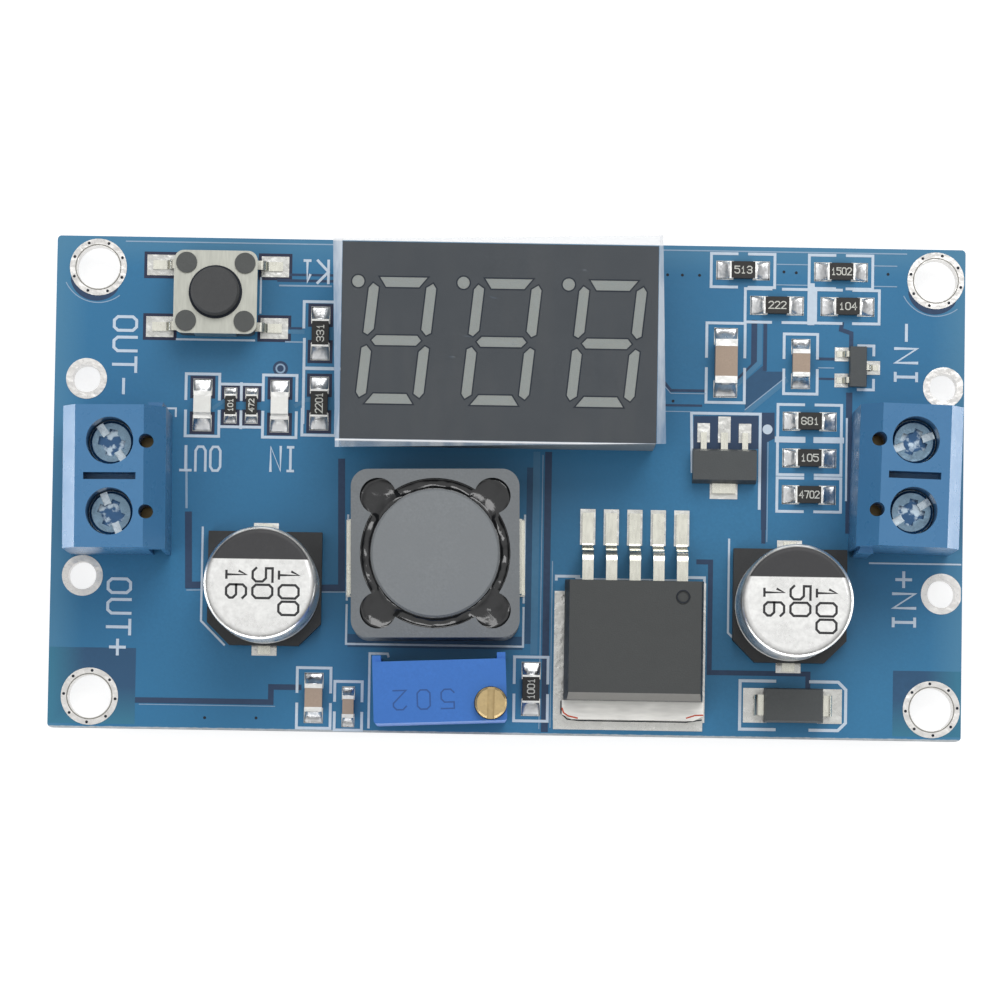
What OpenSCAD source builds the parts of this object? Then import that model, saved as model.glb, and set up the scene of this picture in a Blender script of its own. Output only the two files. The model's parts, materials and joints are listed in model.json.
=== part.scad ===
// Step-down converter module: a circuit board with screw terminals, a power
// regulator, a shielded inductor, two can capacitors, a multi-turn trimmer,
// a push switch and a three-digit meter display.
// Millimetres, +Z up. The origin is the middle of the board, on the plane
// that the pin tips under the board stand on.

/* [Board] */
// Thickness of the circuit board
board_t = 1.6; // [0.8:0.1:2.4]
// Radius of the board's corners
board_corner_r = 0.3; // [0.1:0.1:1]
// Length of the pins below the board
pin_drop = 1.3; // [1.2:0.1:2.5]
// Thickness of the tinned copper on the board
copper_t = 0.05; // [0.03:0.01:0.1]
// Gap between the left terminal block and the left capacitor
left_can_gap = 2.8; // [2.5:0.05:5]
// Gap between the left capacitor and the inductor
inductor_gap = 2.2; // [2:0.05:5]
// Gap between the inductor and the power regulator
regulator_gap = 3.37; // [3:0.01:6]
// Gap between the power regulator and the right capacitor
right_can_gap = 2.13; // [1.9:0.01:4]
// Gap between the right capacitor and the right terminal block
right_block_gap = 0.25; // [0.2:0.05:3]
// Distance from the near long edge of the board to the trimmer
trimmer_inset = 0.6; // [0.4:0.05:2]
// Gap between the trimmer and the inductor
trimmer_gap = 1.7; // [1.5:0.05:3]
// Gap between the inductor and the display
display_gap = 2.05; // [1.5:0.05:4]

/* [Mounting and wire holes] */
// Diameter of the four mounting holes
mount_hole_d = 3.1; // [2.5:0.1:3.2]
// Width of the tinned ring round a mounting hole
mount_ring_w = 0.52; // [0.3:0.02:0.55]
// Distance from the left board edge to the mounting holes
mount_left = 3; // [2.9:0.05:4]
// Distance from the right board edge to the mounting holes
mount_right = 2.15; // [2.15:0.05:4]
// Distance from the long board edges to the mounting holes
mount_inset = 2.27; // [2.2:0.01:2.6]
// Diameter of the four wire holes
wire_hole_d = 2; // [1.2:0.1:2.2]
// Width of the tinned ring round a wire hole
wire_ring_w = 0.48; // [0.3:0.02:0.5]
// Distance from the left board edge to the wire holes
wire_left = 2.31; // [2:0.01:3]
// Distance from the right board edge to the wire holes
wire_right = 1.52; // [1.5:0.01:3]
// Distance of the left wire holes from the end of the block
left_wire_gap = 2.1; // [1.9:0.05:3]
// Distance of the right wire holes from the end of the block
right_wire_gap = 2.45; // [2:0.05:3]
// Shift of the wire holes across the board
wire_shift = 0.3; // [-0.5:0.05:0.5]

/* [Terminal blocks] */
// Depth of a terminal block
terminal_depth = 7.25; // [7.2:0.05:9]
// Width of one pole of a terminal block
terminal_pitch = 5; // [4.9:0.05:5.2]
// Height of a terminal block
terminal_h = 10; // [9.6:0.1:12]
// Distance from the left board edge to the block
terminal_left = 1.4; // [1:0.05:2]
// Distance from the right board edge to the block
terminal_right = 0.95; // [0.5:0.05:1]
// Middle of the left block across the board
terminal_left_y = -0.27; // [-1:0.01:1]
// Middle of the right block across the board
terminal_right_y = 0.7; // [-1:0.01:1.5]
// Turn of the left block
terminal_left_yaw = 0.7; // [-2:0.1:2]
// Turn of the right block
terminal_right_yaw = 178.6; // [178:0.1:182]
// Gap round a clamp screw's head in its recess
recess_gap = 0.1; // [0.05:0.01:0.3]
// Diameter of a clamp screw's head
screw_head_d = 3.15; // [2.8:0.05:3.2]
// Thickness of a clamp screw's head
screw_head_t = 1.1; // [0.8:0.1:1.4]
// Diameter of a clamp screw's shank
screw_d = 2.4; // [2:0.1:2.5]
// Travel of a wire clamp
clamp_travel = 1.8; // [1:0.1:1.9]
// Thickness of a clamp's sheet
clamp_t = 0.5; // [0.4:0.05:0.6]

/* [Push switch] */
// Side of the switch
switch_w = 6; // [5.8:0.1:6.4]
// Height of the switch body under its cover
switch_body_h = 3.3; // [3:0.1:5]
// Height of the button above the board
button_top = 4.35; // [4.1:0.05:7]
// Diameter of the button
button_d = 3.5; // [2.5:0.1:3.6]
// Travel of the button
button_travel = 0.25; // [0.1:0.05:0.3]
// Position of the switch along the board, from the left capacitor
switch_shift = -3.85; // [-4.2:0.05:-3.5]
// Distance from the middle of the switch to the far long edge
switch_inset = 4.3; // [4:0.05:4.6]

/* [Display] */
// Margin of the display's face beside its digits
display_side = 1.325; // [0.8:0.005:3]
// Margin of the display's face over and under its digits
display_margin = 2.48; // [1.5:0.01:4]
// Height of the display
display_h = 7.2; // [6:0.1:9]
// Distance that the display reaches past the inductor to the left
display_shift = 0.955; // [0.5:0.005:1.2]
// Distance from the display to the far long edge of the board
display_inset = 0.9; // [0.5:0.05:1.5]
// Height of a digit
digit_h = 9.14; // [7:0.02:9.6]
// Width of a digit
digit_w = 4.9; // [3.6:0.1:5]
// Distance between digits
digit_pitch = 7.5; // [6.9:0.1:7.7]
// Thickness of a segment
segment_t = 0.8; // [0.6:0.05:1]
// Thickness of the clear film on the display
film_t = 0.08; // [0.05:0.01:0.2]

/* [Inductor] */
// Side of the inductor
inductor_w = 12; // [10:0.1:12.4]
// Height of the inductor
inductor_h = 7; // [5:0.1:8]
// Thickness of the shield's wall at its thinnest
shield_wall = 0.65; // [0.5:0.05:1.2]
// Width of the glue ring round the drum
glue_w = 0.75; // [0.4:0.05:0.8]

/* [Can capacitors] */
// Diameter of a capacitor can
can_d = 8; // [6:0.1:8.2]
// Height of a capacitor above the board
can_h = 10.2; // [7:0.1:13]
// Extra width of the base round the can
can_base_rim = 0.1; // [0.05:0.01:0.2]
// Distance from the near long edge to the left capacitor
left_can_inset = 6.1; // [5.5:0.05:8]
// Distance from the near long edge to the right capacitor
right_can_inset = 5.45; // [5.2:0.05:7]

/* [Power regulator] */
// Width of the regulator's body
regulator_w = 10; // [9:0.1:10.4]
// Length of the regulator's body
regulator_l = 8.7; // [7:0.1:9]
// Height of the regulator
regulator_h = 4.5; // [3.6:0.1:5]
// Length of the metal tab past the body
tab_l = 1.35; // [0.8:0.05:1.5]
// Thickness of the metal tab
tab_t = 1.27; // [0.8:0.01:1.4]
// Distance between the leads
lead_pitch = 1.7; // [1.5:0.01:1.8]
// Distance from the near long edge to the regulator's body
regulator_inset = 2.5; // [2.2:0.05:4]

/* [Trimmer] */
// Length of the trimmer
trimmer_w = 9.4; // [8:0.1:9.6]
// Width of the trimmer
trimmer_d = 4.35; // [4:0.05:4.4]
// Height of the trimmer
trimmer_h = 10; // [6:0.1:12]
// Diameter of the adjusting screw
adjuster_d = 2.25; // [1.8:0.05:2.3]
// Height of the adjusting screw above the trimmer
adjuster_rise = 0.8; // [0.3:0.1:1.5]
// Shift of the trimmer along the board from the inductor
trimmer_shift = 0.5; // [0:0.05:1]
// Turn of the trimmer
trimmer_yaw = 2.5; // [0:0.1:3]

/* [Small parts] */
// Length of a chip resistor
chip_l = 2; // [1.8:0.05:2.2]
// Width of a chip resistor
chip_w = 1.25; // [1:0.05:1.4]
// Height of a chip resistor
chip_h = 0.55; // [0.4:0.05:0.8]
// Length of the diode's body
diode_l = 4.3; // [3.8:0.1:4.4]
// Width of the diode's body
diode_w = 2.5; // [2:0.1:2.7]
// Height of the diode
diode_h = 2.2; // [1.6:0.1:2.6]
// Length of the meter chip under the board
meter_l = 6.5; // [5:0.1:8]
// Width of the meter chip under the board
meter_w = 4.4; // [3.8:0.1:4.8]
// Height of the meter chip
meter_h = 1.05; // [0.8:0.05:1.1]

/* [Hidden] */
$fn = 48;

// Small amount that a cut runs past the face it opens
eps = 0.01;
// Running clearance between a turning or sliding piece and its hole
run_gap = 0.05;
// Wall of plating inside a hole
barrel_t = 0.06;

// Heights of the board's two faces and of its tinned pads
z_bottom = pin_drop;
z_top = pin_drop + board_t;
z_pad = z_top + copper_t;

// Sides of the display and of a capacitor's base
display_w = 2 * digit_pitch + digit_w + 2 * display_side;
display_d = digit_h + 2 * display_margin;
can_base_w = can_d + 2 * can_base_rim;

// Chip resistors beside the display: gap to it, and what each step adds to their lengths
block_gap = 5.38;
chip_steps = [0, 0.5, 3.12, 1.62];
// Length of a chip's pad, and how far it reaches under the chip
chip_pad_l = 1.25;
chip_lap = 0.3;
// Smallest gap between parts on the board
part_gap = 0.3;

// Rows of parts that set the length of the board, from its left edge
left_can_from = terminal_left + terminal_depth + left_can_gap;
inductor_from = left_can_from + can_base_w + inductor_gap;
regulator_from = inductor_from + inductor_w + regulator_gap;
right_can_from = regulator_from + regulator_w + right_can_gap;
middle_row = right_can_from + can_base_w + right_block_gap + terminal_depth + terminal_right;
display_from = inductor_from - display_shift;
far_row = display_from + display_w + block_gap + 4 * chip_l + chip_steps[3] - chip_lap
    + chip_pad_l + part_gap + mount_ring_w + mount_hole_d / 2 + mount_right;

// Sides of the circuit board and their halves
board_w = max(middle_row, far_row);
board_d = trimmer_inset + trimmer_d + trimmer_gap + inductor_w + display_gap + display_d
    + display_inset;
edge_x = board_w / 2;
edge_y = board_d / 2;

// Places of the mounting holes
mount_holes = [
    for (x = [-edge_x + mount_left, edge_x - mount_right],
         y = [-edge_y + mount_inset, edge_y - mount_inset]) [x, y]
];

// Terminal blocks: middles, and the half width across both poles
terminal_half = terminal_pitch + 0.05;
left_block = [-edge_x + terminal_left + terminal_depth / 2, terminal_left_y];
right_block = [edge_x - terminal_right - terminal_depth / 2, terminal_right_y];

// Places of the wire holes, beyond the ends of the blocks
left_wire_y = terminal_half + left_wire_gap;
right_wire_y = terminal_half + right_wire_gap;
wire_holes = [
    for (s = [1, -1]) [-edge_x + wire_left, wire_shift + s * left_wire_y],
    for (s = [1, -1]) [edge_x - wire_right, wire_shift + s * right_wire_y]
];

// Inside a terminal block, from the wire side to the board's middle
block_front = -terminal_depth / 2;
cavity_wall = 0.7;
contact_pin_d = 1;
contact_hole_d = 1.4;
contact_gap = 0.1;
cage_l = 3.4;
pin_gap = 0.35;
cage_front_gap = 0.5;
pin_u = terminal_depth / 2 - cavity_wall - contact_gap - contact_pin_d / 2;
screw_u = pin_u - contact_pin_d / 2 - pin_gap - cage_l / 2;
cavity_front = screw_u - cage_l / 2 - cage_front_gap;
top_front = block_front + 0.95;
top_back = screw_u + 2.4;
slope_drop = 2.1;
chamfer_drop = 1.5;
pole_wall = 1.1;
cavity_w = terminal_pitch - pole_wall;
ledge_t = 0.5;
recess_d = screw_head_d + 2 * recess_gap;
cage_gap = 0.15;
cage_w = cavity_w - 2 * cage_gap;
cage_top_t = 0.8;
bar_t = 0.55;
bar_w = 2.2;
plate_t = 0.6;
floor_gap = 0.55;
cavity_roof = floor_gap + clamp_t + bar_t + cage_top_t + 2 * clamp_travel + 4 * run_gap;
// Heights above the board inside the block
cage_top = cavity_roof - run_gap - clamp_travel;
bar_top = cage_top - cage_top_t - run_gap;
bar_bottom = bar_top - bar_t;
cage_floor_top = bar_bottom - clamp_travel - 2 * run_gap;
cage_bottom = cage_floor_top - clamp_t;
ledge_top = cavity_roof + ledge_t;
screw_top = ledge_top + screw_head_t;
screw_tip = bar_top + run_gap;
entry_w = cage_w - 2 * clamp_t + 0.4;
entry_h = min(2.6, cage_top - cage_top_t - cage_floor_top + 0.6);

// Switch: row distance of its legs and sizes inside
switch_row = switch_w * 0.75;
cover_t = 0.2;
rivet_d = 1.5;
rivet_inset = 0.9;
well_d = button_d + 1.2;
flange_d = button_d + 0.8;
flange_t = 0.5;
well_floor = 1.2;
dome_rise = button_travel + 0.2;
dome_t = 0.1;
leg_w = 0.65;
leg_t = 0.2;
leg_reach = 1.7;
switch_pad = [2, 1.5];
switch_x = -edge_x + left_can_from + can_base_w / 2 + switch_shift;
switch_y = edge_y - switch_inset;

// Display: middle, digit form and pin rows
display_x = -edge_x + display_from + display_w / 2;
display_y = edge_y - display_inset - display_d / 2;
digit_slant = 0.104;
digit_offset = 0.15;
point_d = 0.96;
well_wall = 0.6;
backing_t = 1.4;
pin_row = 10.16;
pin_pitch = 2.54;
display_pin_count = 6;
thin_pin_d = 0.5;
thin_hole_d = 0.9;
film_side = 0.5;
film_yaw = 1.5;

// Inductor: middle and inner sizes
inductor_x = -edge_x + inductor_from + inductor_w / 2;
inductor_y = -edge_y + trimmer_inset + trimmer_d + trimmer_gap + inductor_w / 2;
inductor_yaw = 1;
shield_corner_r = 1.25;
shield_hole_d = inductor_w - 2 * shield_wall;
drum_d = shield_hole_d - 2 * glue_w;
lobe_r = 1.3;
lobe_at = shield_hole_d / 2 * 0.76;
flange_h = 1.2;
core_d = drum_d * 0.5;
inductor_lift = 0.3;
winding_turns = 9;
clip_w = 5.4;
clip_t = 0.2;
clip_out = 0.45;

// Can capacitors: middles, base and leads
left_can_x = -edge_x + left_can_from + can_base_w / 2;
left_can_y = -edge_y + left_can_inset + can_base_w / 2;
right_can_x = -edge_x + right_can_from + can_base_w / 2;
right_can_y = -edge_y + right_can_inset + can_base_w / 2;
can_base_t = 1.3;
can_lead_t = 0.2;
can_lead_w = 0.9;
can_lead_out = 0.6;
can_pad = [1.8, 2.9];

// Power regulator: middle across the board, leads
regulator_x = -edge_x + regulator_from + regulator_w / 2;
regulator_front = -edge_y + regulator_inset;
regulator_y = regulator_front + regulator_l / 2;
regulator_draft = 0.28;
regulator_lead_w = 0.8;
regulator_lead_t = 0.5;
regulator_exit = 2.2;
regulator_reach = 4.9;
slug_l = regulator_l * 0.62;
tab_chamfer = 0.7;

// Trimmer: place, screw and feet
trimmer_x = inductor_x + trimmer_shift;
trimmer_y = -edge_y + trimmer_inset + trimmer_d / 2;
adjuster_u = trimmer_w / 2 - adjuster_d / 2;
adjuster_v = -trimmer_d / 2 + adjuster_d / 2 + 0.1;
adjuster_deep = 2.2;
spindle_d = 1.3;
spindle_l = trimmer_h * 0.55;
foot_h = 0.4;
corner_rib = [0.6, 0.45];

// Small parts: [x, y, turn] of each, tied to the pieces beside them
film_left = display_x - display_w / 2 - film_side;
column_gap = 0.565;
column_x = film_left - column_gap - chip_w / 2;
column_y = edge_y - 9.4;
column_split = 1.55;
chip_row_x = display_x + display_w / 2 + block_gap + chip_l / 2;
chip_row_y = edge_y - 1.125 - chip_w / 2;
row_gap = 1.28;
stack_x = right_can_x + 1.35;
stack_y = right_can_y + can_base_w / 2 + 4.03;
stack_gap = 1.42;
side_resistor_gap = 1.03;
near_parts_y = -edge_y + 3.3;
resistors = [
    for (i = [0:3]) [
        chip_row_x + i * chip_l + chip_steps[i],
        chip_row_y - (i % 2) * (chip_w + row_gap), 0
    ],
    for (i = [0:2]) [stack_x, stack_y + i * (chip_w + stack_gap), 0],
    [inductor_x + inductor_w / 2 + side_resistor_gap, near_parts_y, 90],
    for (s = [1, -1]) [column_x, column_y + s * (column_split + chip_l / 2), 90]
];
lamp_y = left_can_y + can_base_w / 2 + 9.2;
lamp_out = 2.8;
lamp_middle = left_can_x - 2;
small_chip = [1.6, 0.8, 0.45];
small_chip_pad = 0.8;
small_chip_step = 0.76;
small_resistors = [for (s = [-1, 1]) [lamp_middle + s * small_chip_step, lamp_y, 90]];
led_size = [2, 1.25, 0.8];
led_end = 0.4;
led_pad = 1.2;
leds = [for (s = [-1, 1]) [lamp_middle + s * lamp_out, lamp_y, 90]];
// Ceramic capacitors: [x, y, turn, length, width, height]
trimmer_left = trimmer_x - trimmer_w / 2;
far_ceramics_y = edge_y - 8.5;
ceramics = [
    [chip_row_x - 1.18, far_ceramics_y, 90, 3.2, 1.6, 1.5],
    [chip_row_x + 4.27, far_ceramics_y, 90, 2, 1.25, 1.1],
    [trimmer_left - 4.45, near_parts_y - 0.9, 90, 2, 1.25, 1.1],
    [trimmer_left - 1.95, near_parts_y - 1.5, 90, 1.6, 0.8, 0.8]
];
diode_at = [right_can_x + 0.35, -edge_y + 2.38];
diode_lead_w = 1.5;
diode_lead_t = 0.2;
transistor_at = [chip_row_x + 8.39, far_ceramics_y - 0.2];
transistor_size = [1.3, 2.9, 0.95];
small_regulator_at = [right_can_x - 4.83, regulator_y + regulator_l / 2 + 8.43];
small_regulator_size = [4.6, 2.5, 1.5];
small_regulator_pitch = 1.5;
meter_at = [display_x, display_y];
meter_lead_pitch = 0.65;
meter_lead_count = floor(meter_l / meter_lead_pitch);
meter_lead_out = 1;
meter_lead_t = 0.12;

// ---- helpers ----

// Puts its children on the board's top face
module on_board(at, yaw = 0) {
    translate([at[0], at[1], z_top]) rotate(yaw) children();
}

// Puts its children on the pads' top face
module on_pad(at, yaw = 0) {
    translate([at[0], at[1], z_pad]) rotate(yaw) children();
}

// Plate with rounded corners, centred, standing on z = 0
module rounded_plate(size, h, r) {
    linear_extrude(h) rounded_square(size, r);
}

module rounded_square(size, r) {
    square([size[0] - 2 * r, size[1]], center = true);
    square([size[0], size[1] - 2 * r], center = true);
    for (x = [-1, 1], y = [-1, 1])
        translate([x * (size[0] / 2 - r), y * (size[1] / 2 - r)]) circle(r);
}

// Box centred in x and y, standing on z = 0
module block(size) {
    translate([-size[0] / 2, -size[1] / 2, 0]) cube(size);
}

// Sector of a ring between two angles less than 180 degrees apart
module ring_sector(r, t, from, to) {
    far = 4 * (r + t);
    mid = (from + to) / 2;
    intersection() {
        difference() {
            circle(r + t, $fn = 32);
            circle(r, $fn = 32);
        }
        polygon([[0, 0], far * [cos(from), sin(from)], far * [cos(mid), sin(mid)],
                 far * [cos(to), sin(to)]]);
    }
}

// Side view of a bent strip: runs are [length, turn], joined by round bends
module strip_profile(runs, t, r, i = 0) {
    length = runs[i][0];
    turn = runs[i][1];
    square([length, t]);
    if (i < len(runs) - 1)
        translate([length, 0]) {
            if (turn < 0) {
                translate([0, -r]) ring_sector(r, t, 90 + turn, 90);
                translate([0, -r]) rotate(turn) translate([0, r])
                    strip_profile(runs, t, r, i + 1);
            } else {
                translate([0, t + r]) ring_sector(r, t, -90, -90 + turn);
                translate([0, t + r]) rotate(turn) translate([0, -t - r])
                    strip_profile(runs, t, r, i + 1);
            }
        }
}

// Bent strip along +X, centred across Y; its first run starts at the origin
module bent_strip(runs, t, w, r) {
    rotate([90, 0, 0]) translate([0, 0, -w / 2]) linear_extrude(w)
        strip_profile(runs, t, r);
}

// Gull-wing lead: leaves at x = 0 with its underside at height drop, and its
// foot stands on z = 0 out to x = reach
module gull_lead(drop, knee, reach, t, w, r, a) {
    slope = (drop - (2 * r + t) * (1 - cos(a))) / sin(a);
    run = (2 * r + t) * sin(a) + slope * cos(a);
    translate([0, 0, drop])
        bent_strip([[knee, -a], [slope, a], [reach - knee - run, 0]], t, w, r);
}

// ---- board ----

module board_blank() {
    translate([0, 0, z_bottom]) rounded_plate([board_w, board_d], board_t, board_corner_r);
}

module through_hole(at, d) {
    translate([at[0], at[1], z_bottom - 1]) cylinder(d = d, h = board_t + 2);
}

// Places of the through-hole pins, each as [x, y]
function turned(p, yaw) = [p[0] * cos(yaw) - p[1] * sin(yaw), p[0] * sin(yaw) + p[1] * cos(yaw)];
pole_v = [-terminal_pitch / 2, terminal_pitch / 2];
contact_pins = [
    for (v = pole_v) left_block + turned([pin_u, v], terminal_left_yaw),
    for (v = pole_v) right_block + turned([pin_u, v], terminal_right_yaw)
];
trimmer_pin_places = [
    for (i = [-1:1]) [trimmer_x, trimmer_y] + turned([i * pin_pitch, 0], trimmer_yaw)
];
display_pin_places = [
    for (i = [0:display_pin_count - 1], s = [-1, 1])
        [display_x + (i - (display_pin_count - 1) / 2) * pin_pitch, display_y + s * pin_row / 2]
];
thin_pins = concat(trimmer_pin_places, display_pin_places);

module circuit_board() {
    color("#1f5f94") difference() {
        board_blank();
        for (p = mount_holes) through_hole(p, mount_hole_d + 2 * barrel_t);
        for (p = wire_holes) through_hole(p, wire_hole_d + 2 * barrel_t);
        for (p = contact_pins) through_hole(p, contact_hole_d);
        for (p = thin_pins) through_hole(p, thin_hole_d);
    }
}

// Tinned ring on both faces joined by the plated wall of the hole
module plated_hole(at, hole_d, ring_w) {
    difference() {
        intersection() {
            translate([at[0], at[1], 0]) {
                translate([0, 0, z_top]) cylinder(d = hole_d + 2 * ring_w, h = copper_t);
                translate([0, 0, z_bottom - copper_t])
                    cylinder(d = hole_d + 2 * ring_w, h = copper_t);
                translate([0, 0, z_bottom - copper_t])
                    cylinder(d = hole_d + 2 * barrel_t, h = board_t + 2 * copper_t);
            }
            translate([0, 0, z_bottom - 1]) block([board_w - 0.2, board_d - 0.2, board_t + 2]);
        }
        through_hole(at, hole_d);
    }
}

module plated_holes() {
    color("#d9d9d6") {
        for (p = mount_holes) plated_hole(p, mount_hole_d, mount_ring_w);
        for (p = wire_holes) plated_hole(p, wire_hole_d, wire_ring_w);
    }
}

// Pad of one size, centred at a place
module pad(at, size, yaw = 0) {
    on_board(at, yaw) block([size[0], size[1], copper_t]);
}

// Two pads under a chip part of length l and width w, turned with it
module chip_pads(part, l, w, pad_l) {
    for (s = [-1, 1])
        on_board(part, part[2])
            translate([s * (l / 2 - chip_lap + pad_l / 2), 0, 0]) block([pad_l, w + 0.12, copper_t]);
}

module surface_pads() {
    color("#dcdcd8") {
        for (p = resistors) chip_pads(p, chip_l, chip_w, chip_pad_l);
        for (p = small_resistors) chip_pads(p, small_chip[0], small_chip[1], small_chip_pad);
        for (p = leds) chip_pads(p, led_size[0], led_size[1], led_pad);
        for (p = ceramics) chip_pads(p, p[3], p[4], 0.7 + p[4] / 3);
        for (x = [-1, 1], y = [-1, 1])
            pad([switch_x + x * (switch_w / 2 + 0.15 + switch_pad[0] / 2),
                 switch_y + y * switch_row / 2], switch_pad);
        for (c = can_places, s = [-1, 1])
            pad([c[0], c[1] + s * (can_base_w / 2 + 0.7 - can_pad[1] / 2)], can_pad);
        for (s = [-1, 1])
            on_board([inductor_x, inductor_y], inductor_yaw)
                translate([s * (inductor_w / 2 - 0.8), 0, 0]) block([2.5, clip_w + 0.2, copper_t]);
        regulator_pads();
        for (s = [-1, 1])
            pad([diode_at[0] + s * (diode_l / 2 + 0.55), diode_at[1]], [1.75, diode_w]);
        for (y = [-0.95, 0.95]) pad(transistor_at + [-1.15, y], [1, 1]);
        pad(transistor_at + [1.15, 0], [1, 1]);
        small_regulator_pads();
        translate([0, 0, z_bottom - z_top - copper_t])
            for (s = [-1, 1], i = [0:meter_lead_count - 1])
                pad(meter_at + [meter_lead_x(i), s * (meter_w / 2 + meter_lead_out - 0.5)],
                    [0.35, 1.2]);
    }
}

module regulator_pads() {
    pad([regulator_x - 0.25, regulator_front + 3.6], [regulator_w + 0.95, 10.1]);
    for (i = [-2:2])
        pad([regulator_x + i * lead_pitch, regulator_y + regulator_l / 2 + regulator_reach - 1],
            [1.1, 2.6]);
}

module small_regulator_pads() {
    front = small_regulator_at[1] + small_regulator_size[1] / 2;
    back = small_regulator_at[1] - small_regulator_size[1] / 2;
    for (i = [-1, 1])
        pad([small_regulator_at[0] + i * small_regulator_pitch, front + 1.2], [0.9, 1.4]);
    pad([small_regulator_at[0], front + 1.45], [0.9, 1.9]);
    pad([small_regulator_at[0], back], [2, 2.2]);
}

// Solder that fills a pin's hole and stands as a cone round it underneath
module solder_joint(at, pin_d, hole_d, cone_d) {
    cone_h = pin_drop - 0.3;
    difference() {
        translate([at[0], at[1], z_bottom]) {
            cylinder(d = hole_d, h = board_t);
            translate([0, 0, -cone_h])
                cylinder(d1 = pin_d + 0.3, d2 = cone_d, h = cone_h);
        }
        translate([at[0], at[1], -1]) cylinder(d = pin_d, h = z_top + 2);
    }
}

module solder_joints() {
    color("#c9cac8") {
        for (p = contact_pins) solder_joint(p, contact_pin_d, contact_hole_d, 2.4);
        for (p = thin_pins) solder_joint(p, thin_pin_d, thin_hole_d, 1.7);
    }
}

// ---- terminal blocks ----

// Side outline of a block, from the wire side (-X) to the board's middle
module block_outline() {
    back = terminal_depth / 2;
    polygon([[block_front, 0], [block_front, terminal_h - chamfer_drop],
             [top_front, terminal_h], [top_back, terminal_h],
             [back, terminal_h - slope_drop], [back, 0]]);
}

module terminal_housing() {
    rib_w = 1.1;
    rib_out = 0.4;
    rib_h = 7;
    rib_u = terminal_depth / 2 - cavity_wall - contact_gap;
    difference() {
        union() {
            rotate([90, 0, 0]) translate([0, 0, -terminal_half])
                linear_extrude(2 * terminal_half) block_outline();
            // interlocking rib on one end
            translate([rib_u, -terminal_half, 0]) dovetail(rib_w, rib_out, rib_h);
        }
        // matching groove in the other end
        translate([rib_u, terminal_half, -eps])
            dovetail(rib_w + 0.1, rib_out + 0.05, rib_h + 0.2);
        // slot between the two screw recesses
        translate([screw_u - 1.85, -0.25, terminal_h - 2]) cube([3.7, 0.5, 3]);
        for (v = pole_v) translate([0, v, 0]) pole_cuts();
    }
}

// Rib that widens outwards, running up the block's end
module dovetail(w, out, h) {
    linear_extrude(h)
        polygon([[-w / 2 + 0.15, eps], [w / 2 - 0.15, eps], [w / 2, -out], [-w / 2, -out]]);
}

// Everything cut away for one pole
module pole_cuts() {
    // clamp chamber, open at the bottom
    translate([cavity_front, -cavity_w / 2, -eps])
        cube([terminal_depth / 2 - cavity_wall - cavity_front, cavity_w, cavity_roof + eps]);
    // wire entry
    translate([block_front - 1, -entry_w / 2, cage_floor_top - 0.1])
        cube([cavity_front - block_front + 2, entry_w, entry_h]);
    // hole for the shank and recess for the head
    translate([screw_u, 0, cavity_roof - eps]) cylinder(d = screw_d + 2 * run_gap, h = 5);
    translate([screw_u, 0, ledge_top]) cylinder(d = recess_d, h = terminal_h);
    // test hole over the contact
    translate([pin_u, 0, cavity_roof - eps]) cylinder(d = 1, h = terminal_h);
}

module left_terminal_housing() {
    color("#2f6fb5") on_board(left_block, terminal_left_yaw) mirror([0, 1, 0]) terminal_housing();
}

module right_terminal_housing() {
    color("#2f6fb5") on_board(right_block, terminal_right_yaw) mirror([0, 1, 0]) terminal_housing();
}

// Current bar and the pin that goes down through the board
module terminal_contact() {
    bar_front = screw_u - cage_l / 2 - 0.2;
    plate_foot = 0.3;
    translate([bar_front, -bar_w / 2, bar_bottom])
        cube([pin_u + plate_t / 2 - bar_front, bar_w, bar_t]);
    translate([pin_u - plate_t / 2, -bar_w / 2, plate_foot])
        cube([plate_t, bar_w, bar_top - plate_foot]);
    translate([pin_u, 0, -z_top]) cylinder(d = contact_pin_d, h = z_top + plate_foot + 0.2);
}

module terminal_contacts() {
    color("#c8b070") {
        for (v = pole_v) {
            on_board(left_block, terminal_left_yaw) translate([0, v, 0]) terminal_contact();
            on_board(right_block, terminal_right_yaw) translate([0, v, 0]) terminal_contact();
        }
    }
}

// Clamp screw with a slot and a cross recess
module clamp_screw(turn) {
    translate([screw_u, 0, 0]) rotate(turn) difference() {
        union() {
            translate([0, 0, screw_tip]) cylinder(d = screw_d, h = ledge_top - screw_tip + eps);
            translate([0, 0, ledge_top + 0.02]) cylinder(d = screw_head_d, h = screw_head_t - 0.27);
            translate([0, 0, screw_top - 0.25 - eps])
                cylinder(d1 = screw_head_d, d2 = screw_head_d - 0.4, h = 0.25 + eps);
        }
        translate([-screw_head_d / 2 - 1, -0.27, screw_top - 0.5]) cube([screw_head_d + 2, 0.54, 1]);
        for (a = [45, 135])
            rotate(a) translate([-0.95, -0.3, screw_top - 0.8]) cube([1.9, 0.6, 1]);
        translate([0, 0, screw_top - 0.8]) cylinder(d = 1.4, h = 1);
    }
}

// Rising clamp: a four-sided sheet frame with a threaded top
module wire_clamp() {
    top = cage_top;
    h = top - cage_bottom;
    translate([screw_u, 0, 0]) difference() {
        translate([0, 0, cage_bottom]) block([cage_l, cage_w, h]);
        translate([0, 0, cage_floor_top])
            block([cage_l + 2, cage_w - 2 * clamp_t, top - cage_top_t - cage_floor_top]);
        translate([0, 0, top - 2]) cylinder(d = screw_d + 2 * run_gap, h = 3);
    }
}

module left_pole(i) {
    on_board(left_block, terminal_left_yaw) translate([0, pole_v[i], 0]) children();
}

module right_pole(i) {
    on_board(right_block, terminal_right_yaw) translate([0, pole_v[i], 0]) children();
}

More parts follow.
